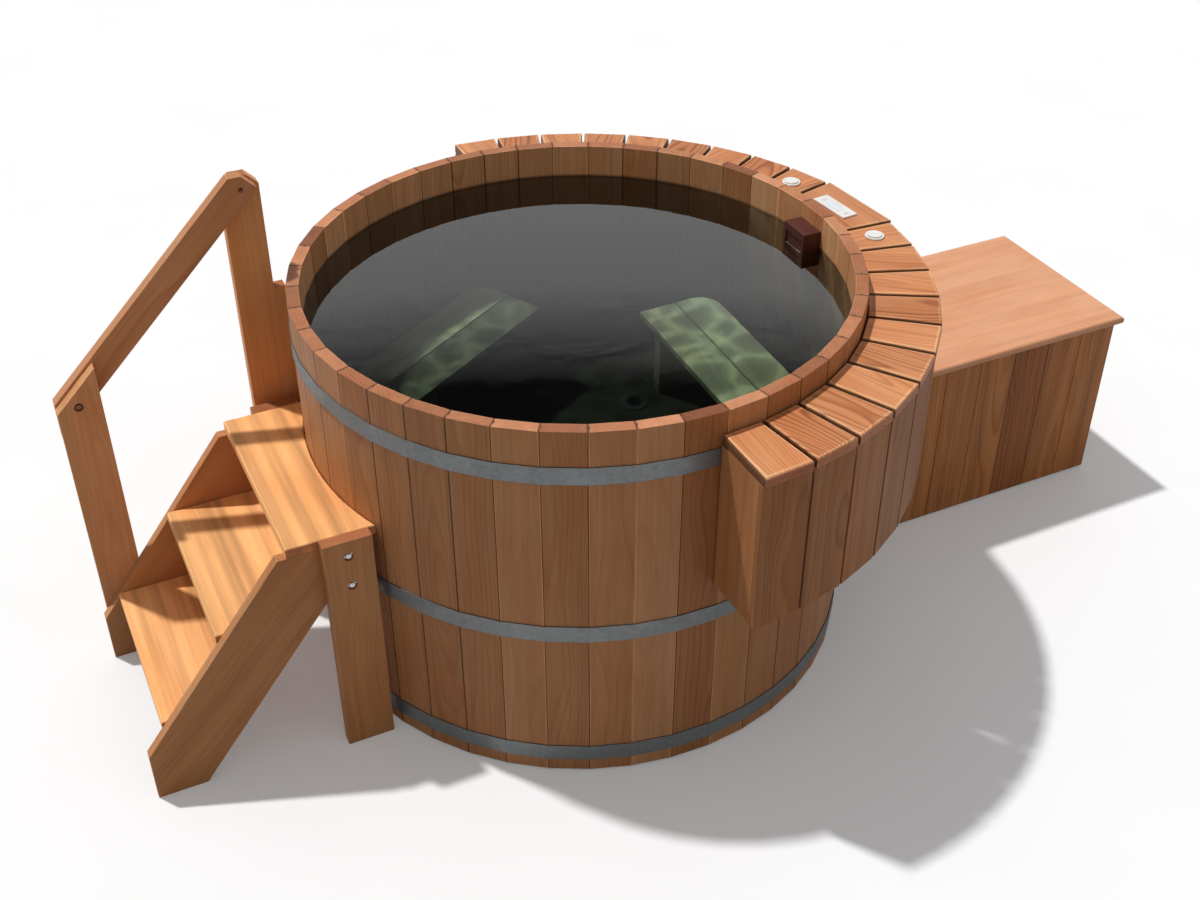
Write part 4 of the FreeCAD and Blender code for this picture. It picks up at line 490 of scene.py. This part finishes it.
def grain_frame(board, along, face, skew):
    """The middle of a board and its across, through and along directions, turned by the skew."""
    corners = numpy.array([v.co for v in board])
    middle = Vector((corners.min(0) + corners.max(0)) / 2)
    outward = Vector((middle.x, middle.y, 0)).normalized()
    ways = {"X": Vector((1, 0, 0)), "Y": Vector((0, 1, 0)), "Z": Vector((0, 0, 1)), "out": outward,
            "round": Vector((-outward.y, outward.x, 0))}
    if along == "long":
        length = Vector(numpy.linalg.eigh(numpy.cov((corners - corners.mean(0)).T))[1][:, 2])
    else:
        length = ways[along]
    across = ways[face].cross(length).normalized()
    through = length.cross(across).normalized()
    turn = Matrix.Rotation(skew, 3, through)
    return middle, turn @ across, through, turn @ length


def round_edges(bm, radius, only):
    """Round the outward edges of a mesh and return the strips of faces that this makes."""
    corners = [e for e in bm.edges if len(e.link_faces) == 2 and e.calc_face_angle_signed() > CORNER
               and e.calc_length() > EDGE_SPAN * radius
               and (only is None or only((e.verts[0].co + e.verts[1].co) / 2))]
    made = bmesh.ops.bevel(bm, geom=corners, offset=radius, offset_type="OFFSET", segments=2, profile=0.5,
                           affect="EDGES", clamp_overlap=False, loop_slide=True)
    return made["faces"]


def lay_grain(bm, node, along, face, tones, skew, inner):
    """Lay the grain along each board, give it a tone, and mark its cut ends and inner faces.

    The marks are those of BOARD_MARKS. A joint mark runs from -1 to 1 across a stave.
    """
    grain = bm.verts.layers.float_vector.new("grain")
    number, habit, joint = (bm.verts.layers.float.new(mark) for mark in ("board", "quirk", "joint"))
    end_faces, inner_faces = (bm.faces.layers.float.new(mark) for mark in ("cut_end", "inner"))
    for index, board in enumerate(boards_of(bm)):
        pick = random.Random("%s %d" % (node, index))
        middle, across, through, length = grain_frame(board, along, face, pick.uniform(-skew, skew))
        pith = Vector((pick.uniform(-PITH_ASIDE, PITH_ASIDE),
                       pick.choice((-1, 1)) * pick.uniform(PITH_NEAR, PITH_FAR),
                       pick.uniform(0, LOG_LENGTH)))
        tone, quirk = pick.random(), pick.random()
        if tones:
            tone = tones[index % len(tones)]
            quirk = 1.0 - tone
        faces = set()
        for corner in board:
            arm = corner.co - middle
            corner[grain] = pith + Vector((arm.dot(across), arm.dot(through), arm.dot(length)))
            corner[number] = tone
            corner[habit] = quirk
            if node == "staves":
                turn = math.atan2(corner.co.y, corner.co.x) - math.atan2(middle.y, middle.x)
                corner[joint] = math.remainder(turn, 2 * math.pi) * STAVE_COUNT / math.pi
            faces.update(corner.link_faces)
        for side in faces:
            side[end_faces] = 1.0 if abs(side.normal.dot(length)) > END_FACING else 0.0
            side[inner_faces] = 1.0 if inner and inner(side) else 0.0


def new_piece(name, bm, material, body):
    """Turn built faces into a piece that rides on a body."""
    mesh = bpy.data.meshes.new(name)
    bm.to_mesh(mesh)
    bm.free()
    mesh.materials.append(material)
    piece = bpy.data.objects.new(name, mesh)
    bpy.context.scene.collection.objects.link(piece)
    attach(piece, body)
    return piece


def finish(node, material, along=None, face="Z", rounding=0.0, tones=None, skew=0.0, only=None, inner=None,
           smooth=32.0):
    """Make a node's finished piece: joined faces, rounded edges, and grain laid along each board."""
    source = frame["nodes"][node]
    bm = bmesh.new()
    bm.from_mesh(source.data)
    bmesh.ops.remove_doubles(bm, verts=bm.verts, dist=WELD)
    bmesh.ops.dissolve_limit(bm, angle_limit=FLAT, verts=bm.verts, edges=bm.edges)
    # The rounded strips carry the edge tint: a painted highlight where it is pale, dirt or a dark joint where
    # it is dark
    edge_wear_and_highlight = bm.faces.layers.float.new("edge_wear_and_highlight")
    if rounding:
        for strip in round_edges(bm, rounding, only):
            strip[edge_wear_and_highlight] = 1.0 if node != "staves" or abs(strip.normal.z) < EDGE_TINT_LEAN else 0.0
    if along:
        lay_grain(bm, node, along, face, tones, skew, inner)
    for side in bm.faces:
        side.smooth = True
    for edge in bm.edges:
        edge.smooth = len(edge.link_faces) == 2 and edge.calc_face_angle() < math.radians(smooth)
    piece = new_piece(node + "_finished", bm, material, source["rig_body"])
    even = piece.modifiers.new("even_shading", "WEIGHTED_NORMAL")
    even.keep_sharp = True
    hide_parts(node)
    return piece


def lathe(bm, profile, widest, sides, matrix):
    """Turn a profile, given as shares of the widest radius and heights, round its axis."""
    turns = [2 * math.pi * k / sides for k in range(sides)]
    rows = []
    for share, height in profile:
        radius = share * widest
        ring = [Vector((radius * math.cos(t), radius * math.sin(t), height)) for t in turns]
        rows.append([bm.verts.new(matrix @ point) for point in ring])
    for low, high in zip(rows, rows[1:]):
        for k in range(sides):
            bm.faces.new((low[k], low[(k + 1) % sides], high[(k + 1) % sides], high[k]))
    bm.faces.new(rows[-1])
    bm.faces.new(list(reversed(rows[0])))


def stave_edge(point):
    """True on the outer, inner and rim edges of a stave, and not in its joint."""
    out = math.hypot(point.x, point.y)
    return out > STAVE_OUTER - OUTER_EDGE or out < STAVE_INNER + INNER_EDGE


def stave_inside(side):
    """True on the face of a stave that looks into the tub."""
    middle = side.calc_center_median()
    return math.hypot(middle.x, middle.y) < STAVE_INNER + INNER_EDGE


def in_gap(side):
    """True on the face of a shelf board that looks at the next board, where painted shade is laid."""
    middle = side.calc_center_median()
    across = Vector((-middle.y, middle.x, 0)).normalized()
    return abs(side.normal.dot(across)) > GAP_FACING


def colour_property(label, words, hex_colour):
    """A colour that a user can change."""
    return FloatVectorProperty(name=label, description=words, subtype="COLOR", size=3, min=0.0, max=1.0,
                               default=linear(hex_colour))


class TubColours(bpy.types.PropertyGroup):
    """Colours of the wood, metal, plastic and water"""
    stave: colour_property("Staves", "Cedar of the tub's staves", "#BE8659")
    seat: colour_property("Seats", "Cedar of the seats under water", "#C2B79A")
    wet: colour_property("Floor boards", "Cedar of the floor boards, dark from the water", "#332820")
    # The shelf's colour is set lighter than the staves' as painted sunlight on its top
    shelf: colour_property("Shelf", "Cedar of the shelf boards", "#DE9867")
    skirt: colour_property("Skirt", "Cedar of the skirt", "#B37C53")
    wall: colour_property("Box walls", "Cedar of the equipment box walls", "#CD8953")
    lid: colour_property("Lid", "Cedar of the equipment box lid", "#E8AB84")
    # The treads' colour is lighter and the step frame's darker as lit and shaded copies of one cedar: painted
    # sunlight on the treads' tops
    tread: colour_property("Treads", "Cedar of the treads", "#FBB878")
    step: colour_property("Step frame", "Cedar of the stringers, legs, posts and rail", "#CB8D5A")
    rough_wood: colour_property("Framing", "Sawn cedar of joists, ribs and cleats", "#B58862")
    hoop: colour_property("Hoops", "Galvanised steel of the hoops", "#717475")
    white: colour_property("White plastic", "Panel, buttons and pipes", "#F2F1EE")
    grey: colour_property("Grey plastic", "Skimmer basket and locknuts", "#8D9298")
    brown: colour_property("Brown plastic", "Skimmer box", "#5A2A22")
    water: colour_property("Water", "Tint of the water's surface", "#DCE8E2")
    depth: colour_property("Deep water", "Tint that the water takes with depth", "#6C957C")


class TubSizes(bpy.types.PropertyGroup):
    """Sizes that are finished in the picture scene"""
    edge: FloatProperty(name="Rounded edge", description="Radius of a sanded board edge", unit="LENGTH",
                        default=0.0022, min=0.0005, max=0.006)
    water: FloatProperty(name="Water level", description="Water surface above the ground", unit="LENGTH",
                         default=1.112, min=0.6, max=1.19)
    density: FloatProperty(name="Water density", description="How fast the water takes its deep tint",
                           default=1.2, min=0.0, max=10.0)
    bolt: FloatProperty(name="Bolt head", description="Radius of a bolt head of the steps", unit="LENGTH",
                        default=0.0095, min=0.005, max=0.012)


class StageSettings(bpy.types.PropertyGroup):
    """Floor and light of the picture"""
    sun: FloatProperty(name="Sun", description="Strength of the main light", default=2.34, min=0.0, max=5.0)
    spread: FloatProperty(name="Sun spread", description="Width of the main light in the sky",
                          subtype="ANGLE", default=math.radians(2.4), min=0.0, max=math.radians(60))
    fill: FloatProperty(name="Fill", description="Strength of the even light from all round", default=0.34,
                        min=0.0, max=1.0)
    floor: FloatProperty(name="Floor", description="Width of the floor", unit="LENGTH", default=60.0,
                         min=10.0)


class HOTTUB_OT_staves(bpy.types.Operator):
    """Finish the staves, floor boards and joists"""
    bl_idname = "hot_tub.staves"
    bl_label = "Staves and Floor"

    def execute(self, context):
        colours, sizes = context.scene.tub_colours, context.scene.tub_sizes
        # The staves' pale edge tint is a painted highlight and their dark edge tint a dark joint; the inside
        # tint lightens the inner faces as painted fill light, and the water line darkens them below the water
        # as wet wood and painted shade of the deep water
        wood = cedar("oiled_cedar_staves", colours.stave, STAVED, edge=(0.4, 0.38, 0.36),
                     pale_edge=(1.8, 1.9, 2.0), inside=(1.5, 1.66, 1.85), waterline=sizes.water,
                     ends=DRY_ENDS)
        finish("staves", wood, "Z", "out", sizes.edge, STAVE_TONES, only=stave_edge, inner=stave_inside)
        finish("floor_boards", cedar("wet_cedar_floor", colours.wet, EVEN), "long", "Z")
        joist_wood = cedar("sawn_cedar_joists", colours.rough_wood, EVEN, rough=0.65)
        finish("floor_joists", joist_wood, "long", "Z", sizes.edge)
        return {"FINISHED"}


class HOTTUB_OT_hoops(bpy.types.Operator):
    """Finish the three hoops and their bolts"""
    bl_idname = "hot_tub.hoops"
    bl_label = "Hoops"

    def execute(self, context):
        colours = context.scene.tub_colours
        zinc = metal("galvanised_band_steel", colours.hoop, 0.48, flake=0.010, metallic=0.75)
        for node in ("top_hoop", "middle_hoop", "bottom_hoop"):
            finish(node, zinc)
        finish("hoop_bolts", metal("zinc_plated_bolts", colours.hoop, 0.35, flake=0.003), rounding=0.0006)
        return {"FINISHED"}


class HOTTUB_OT_seats(bpy.types.Operator):
    """Finish the seats and their supports"""
    bl_idname = "hot_tub.seats"
    bl_label = "Seats"

    def execute(self, context):
        colours, sizes = context.scene.tub_colours, context.scene.tub_sizes
        wood = cedar("wet_cedar_seats", colours.seat, SEAT_SHADE_TONES, contrast=0.4)
        finish("bench_seats", wood, "round", "Z", sizes.edge, SEAT_TONES)
        finish("bench_supports", wood, "Z", "round", sizes.edge)
        return {"FINISHED"}


class HOTTUB_OT_water(bpy.types.Operator):
    """Fill the tub with water"""
    bl_idname = "hot_tub.water"
    bl_label = "Water"

    def execute(self, context):
        colours, sizes = context.scene.tub_colours, context.scene.tub_sizes
        half = math.pi / STAVE_COUNT
        corner = (STAVE_INNER + WATER_LAP) / math.cos(half)
        turns = [(2 * k + 1) * half for k in range(STAVE_COUNT)]
        bm = bmesh.new()
        top = bm.faces.new([bm.verts.new((corner * math.cos(t), corner * math.sin(t), sizes.water))
                            for t in turns])
        down = bmesh.ops.extrude_face_region(bm, geom=[top])
        for vert in down["geom"]:
            if isinstance(vert, bmesh.types.BMVert):
                vert.co.z = FLOOR_TOP - WATER_LAP
        bmesh.ops.recalc_face_normals(bm, faces=bm.faces)
        new_piece("water", bm, still_water("bath_water", colours.water, colours.depth, sizes.density), "tub")
        return {"FINISHED"}


class HOTTUB_OT_skimmer(bpy.types.Operator):
    """Finish the skimmer, drain and wall fittings"""
    bl_idname = "hot_tub.skimmer"
    bl_label = "Skimmer and Fittings"

    def execute(self, context):
        colours = context.scene.tub_colours
        brown = moulded("brown_moulded_abs", colours.brown, 0.45)
        for node in ("skimmer_box", "skimmer_lid", "skimmer_weir"):
            finish(node, brown, rounding=0.0012)
        finish("skimmer_basket", moulded("grey_moulded_pp", colours.grey, 0.5))
        stained = moulded("stained_moulded_pvc", linear("#2E2C27"), 0.4)
        for node in ("suction_fitting", "return_fitting", "floor_drain"):
            finish(node, stained)
        return {"FINISHED"}


class HOTTUB_OT_shelf(bpy.types.Operator):
    """Finish the shelf boards, skirt, ribs and rails"""
    bl_idname = "hot_tub.shelf"
    bl_label = "Shelf"

    def execute(self, context):
        colours, sizes = context.scene.tub_colours, context.scene.tub_sizes
        # The shelf's pale edge tint is a painted highlight, and the dark tint on the faces in the gaps
        # between boards is painted shade
        top = cedar("oiled_cedar_shelf", colours.shelf, SUNNED, contrast=1.4, edge=(1.2, 1.5, 1.75),
                    inside=(0.25, 0.25, 0.25))
        finish("shelf_boards", top, "out", "Z", 2 * sizes.edge, SHELF_TONES, 0.4, inner=in_gap)
        finish("panel_board", top, "round", "Z", 2 * sizes.edge, (0.7,), inner=in_gap)
        skirt = cedar("oiled_cedar_skirt", colours.skirt, MIXED, contrast=0.6, edge=(0.9, 0.88, 0.86),
                      figure=0.18, shine=0.1)
        finish("skirt_boards", skirt, "Z", "out", sizes.edge, SKIRT_TONES)
        finish("end_panels", skirt, "Z", "Y", sizes.edge, (1.0,))
        frame_wood = cedar("sawn_cedar_ribs", colours.rough_wood, EVEN, rough=0.65)
        finish("shelf_ribs", frame_wood, "Z", "round")
        finish("shelf_rails", frame_wood, "round", "Z")
        return {"FINISHED"}


class HOTTUB_OT_controls(bpy.types.Operator):
    """Finish the control panel and the push buttons"""
    bl_idname = "hot_tub.controls"
    bl_label = "Controls"

    def execute(self, context):
        colours = context.scene.tub_colours
        white = moulded("white_moulded_abs", colours.white, 0.35)
        for node in ("panel_housing", "button_bodies", "near_button", "far_button"):
            finish(node, white, rounding=0.0012)
        finish("panel_display", moulded("display_window", linear("#EAEEF0"), 0.12), rounding=0.0004)
        key = moulded("pale_grey_key_rubber", linear("#E8E9E9"), 0.5)
        for node in ("panel_key_1", "panel_key_2"):
            finish(node, key, rounding=0.0005)
        finish("button_nuts", moulded("grey_locknut_nylon", colours.grey, 0.5))
        return {"FINISHED"}


class HOTTUB_OT_box(bpy.types.Operator):
    """Finish the equipment box and its lid"""
    bl_idname = "hot_tub.box"
    bl_label = "Equipment Box"

    def execute(self, context):
        colours, sizes = context.scene.tub_colours, context.scene.tub_sizes
        wall = cedar("oiled_cedar_box", colours.wall, MIXED, contrast=0.9, edge=(0.8, 0.78, 0.75),
                     figure=0.22, shine=0.2)
        finish("box_side_boards", wall, "Z", "Y", sizes.edge, WALL_TONES)
        finish("box_end_boards", wall, "Z", "X", sizes.edge)
        finish("box_inner_wall", wall, "Z", "X")
        sawn = cedar("sawn_cedar_box_frame", colours.rough_wood, EVEN, rough=0.65)
        finish("box_frame", sawn, "long", "Z")
        finish("box_deck", sawn, "long", "Z")
        finish("lid_battens", sawn, "Y", "Z", sizes.edge)
        lid = cedar("oiled_cedar_lid", colours.lid, EVEN, contrast=0.1, figure=0.07, ring=0.016)
        finish("box_lid", lid, "X", "Z", tones=(0.6,))
        finish("box_top_strip", lid, "Y", "Z", sizes.edge)
        return {"FINISHED"}


class HOTTUB_OT_hinges(bpy.types.Operator):
    """Finish the lid's hinges"""
    bl_idname = "hot_tub.hinges"
    bl_label = "Lid Hinges"

    def execute(self, context):
        steel = metal("zinc_plated_hinge_steel", linear("#A8ABAD"), 0.34, flake=0.004)
        for node in ("lid_hinge_leaves", "box_hinge_leaves", "hinge_pins"):
            finish(node, steel, smooth=50.0)
        return {"FINISHED"}


class HOTTUB_OT_equipment(bpy.types.Operator):
    """Finish the pump, filter, heater, control pack and pipes"""
    bl_idname = "hot_tub.equipment"
    bl_label = "Pump and Pipes"

    def execute(self, context):
        enamel = metal("enamelled_motor_iron", linear("#2B3440"), 0.4, flake=0.02, metallic=0.0)
        black = moulded("black_glass_filled_nylon", linear("#232427"), 0.5)
        grey = moulded("grey_moulded_abs", linear("#83878C"), 0.5)
        for node, material in (("pump_motor", enamel), ("pump_wet_end", black), ("filter_lid", black),
                               ("filter_tank", grey), ("control_pack", grey)):
            finish(node, material, rounding=0.002, smooth=40.0)
        brushed = metal("brushed_stainless_heater", linear("#B9BBBC"), 0.3, flake=0.002,
                        stretch=(0.05, 1.0, 1.0))
        finish("heater", brushed, smooth=40.0)
        finish("pipes", moulded("white_pvc_pipe", context.scene.tub_colours.white, 0.3), smooth=40.0)
        return {"FINISHED"}


class HOTTUB_OT_steps(bpy.types.Operator):
    """Finish the stringers, treads, cleats and legs"""
    bl_idname = "hot_tub.steps"
    bl_label = "Steps"

    def execute(self, context):
        colours, sizes = context.scene.tub_colours, context.scene.tub_sizes
        # The treads' lighter cedar and the stringers' darker tones stand in for sun on the tops and shade on
        # the sides: painted light and shade
        tread = cedar("oiled_cedar_treads", colours.tread, EVEN, contrast=0.35, figure=0.3, ring=0.02)
        finish("lower_treads", tread, "Y", "Z", sizes.edge, (0.8, 1.0))
        finish("top_tread", tread, "Y", "Z", sizes.edge, (0.9,))
        side = cedar("oiled_cedar_step_frame", colours.step, EVEN, contrast=0.35)
        finish("stringers", side, "long", "Y", sizes.edge, (0.25, 0.5))
        finish("step_legs", side, "Z", "Y", sizes.edge)
        finish("tread_cleats", cedar("sawn_cedar_cleats", colours.rough_wood, EVEN, rough=0.65), "long", "Z")
        return {"FINISHED"}


class HOTTUB_OT_rail(bpy.types.Operator):
    """Finish the hand rail and its posts"""
    bl_idname = "hot_tub.rail"
    bl_label = "Hand Rail"

    def execute(self, context):
        colours, sizes = context.scene.tub_colours, context.scene.tub_sizes
        wood = cedar("oiled_cedar_rail", colours.step, RAILING, contrast=0.3)
        # The posts' tones 0.5 and 1.0 are painted bounce light; the rail and its spacer keep their own tone
        for node, tone in (("hand_rail", 0.0), ("post_spacer", 0.0), ("front_post", 0.5), ("back_post", 1.0)):
            finish(node, wood, "long", "Y", sizes.edge, (tone,))
        return {"FINISHED"}


class HOTTUB_OT_bolts(bpy.types.Operator):
    """Set the bolt heads of the steps and the rail in place"""
    bl_idname = "hot_tub.bolts"
    bl_label = "Step Bolts"

    def execute(self, context):
        head = context.scene.tub_sizes.bolt
        steel = metal("zinc_plated_step_bolts", linear("#B4B6B6"), 0.28, flake=0.003)
        browned = metal("browned_steel_rail_bolts", linear("#6B4A3A"), 0.4, flake=0.003)
        leg_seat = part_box("step_legs")[0].y + COUNTERBORE
        post_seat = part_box("front_post")[0].y + COUNTERBORE
        rail_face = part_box("hand_rail")[0].y
        for name, (along, high), seat, material, radius in (
                ("near_leg_bolt_low", LEG_BOLT_LOW, leg_seat, steel, head),
                ("near_leg_bolt_high", LEG_BOLT_HIGH, leg_seat, steel, head),
                ("front_post_bolt", FRONT_POST_BOLT, post_seat, browned, head),
                ("back_post_bolt", BACK_POST_BOLT, rail_face, browned, RAIL_BOLT_SHARE * head)):
            turn = Matrix.Translation((along, seat, high)) @ Matrix.Rotation(math.pi / 2, 4, "X")
            bm = bmesh.new()
            lathe(bm, WASHER_PROFILE, WASHER_SHARE * radius, WASHER_SIDES, turn)
            lathe(bm, HEAD_PROFILE, radius, HEAD_SIDES, turn)
            new_piece(name, bm, material, "tub")
        return {"FINISHED"}


class HOTTUB_OT_stage(bpy.types.Operator):
    """Lay the floor, light it and set the camera"""
    bl_idname = "hot_tub.stage"
    bl_label = "Stage"

    def execute(self, context):
        scene, stage = context.scene, context.scene.tub_stage
        reach = stage.floor / 2
        mesh = bpy.data.meshes.new("studio_floor")
        mesh.from_pydata([(x * reach, y * reach, 0) for x, y in ((-1, -1), (1, -1), (1, 1), (-1, 1))], [],
                         [(0, 1, 2, 3)])
        mesh.materials.append(studio_paint())
        floor = bpy.data.objects.new("studio_floor", mesh)
        scene.collection.objects.link(floor)

        lamp = bpy.data.lights.new("main_light", "SUN")
        lamp.energy = stage.sun
        lamp.angle = stage.spread
        sun = bpy.data.objects.new("main_light", lamp)
        sun.rotation_euler = Vector(SUN_WAY).to_track_quat("-Z", "Y").to_euler()
        scene.collection.objects.link(sun)
        scene.world = white_room(stage.fill)

        lens = bpy.data.cameras.new("photo_view")
        lens.lens = CAMERA_LENS
        lens.sensor_width = CAMERA_SENSOR
        lens.clip_end = CAMERA_REACH
        view = bpy.data.objects.new("photo_view", lens)
        ahead = Vector(CAMERA_AHEAD).normalized()
        right = Vector(CAMERA_RIGHT).normalized()
        up = right.cross(ahead).normalized()
        turn = Matrix((right, up, -ahead)).transposed().to_4x4()
        view.matrix_world = Matrix.Translation(CAMERA_PLACE) @ turn
        scene.collection.objects.link(view)
        scene.camera = view
        scene.view_settings.view_transform = "Standard"
        return {"FINISHED"}


class HOTTUB_PT_panel(bpy.types.Panel):
    """Lists the tub's pieces, colours and sizes"""
    bl_idname = "HOTTUB_PT_panel"
    bl_label = "Cedar Hot Tub"
    bl_space_type = "VIEW_3D"
    bl_region_type = "UI"
    bl_category = "Hot Tub"

    def draw(self, context):
        for step in STEPS:
            self.layout.operator(step.bl_idname)
        for group in (context.scene.tub_colours, context.scene.tub_sizes, context.scene.tub_stage):
            box = self.layout.box()
            for word in group.__annotations__:
                box.prop(group, word)


STEPS = (HOTTUB_OT_staves, HOTTUB_OT_hoops, HOTTUB_OT_seats, HOTTUB_OT_water, HOTTUB_OT_skimmer,
         HOTTUB_OT_shelf, HOTTUB_OT_controls, HOTTUB_OT_box, HOTTUB_OT_hinges, HOTTUB_OT_equipment,
         HOTTUB_OT_steps, HOTTUB_OT_rail, HOTTUB_OT_bolts, HOTTUB_OT_stage)
GROUPS = (("tub_colours", TubColours), ("tub_sizes", TubSizes), ("tub_stage", StageSettings))


def register():
    """Register the settings, the operators and the panel."""
    for word, group in GROUPS:
        bpy.utils.register_class(group)
        setattr(bpy.types.Scene, word, PointerProperty(type=group))
    for step in STEPS:
        bpy.utils.register_class(step)
    bpy.utils.register_class(HOTTUB_PT_panel)


def unregister():
    """Take the panel, the operators and the settings away again."""
    bpy.utils.unregister_class(HOTTUB_PT_panel)
    for step in reversed(STEPS):
        bpy.utils.unregister_class(step)
    for word, group in reversed(GROUPS):
        delattr(bpy.types.Scene, word)
        bpy.utils.unregister_class(group)


def main():
    """Finish the whole tub and its stage."""
    register()
    for step in STEPS:
        getattr(bpy.ops.hot_tub, step.bl_idname.split(".")[1])()


if __name__ == "__main__":
    main()
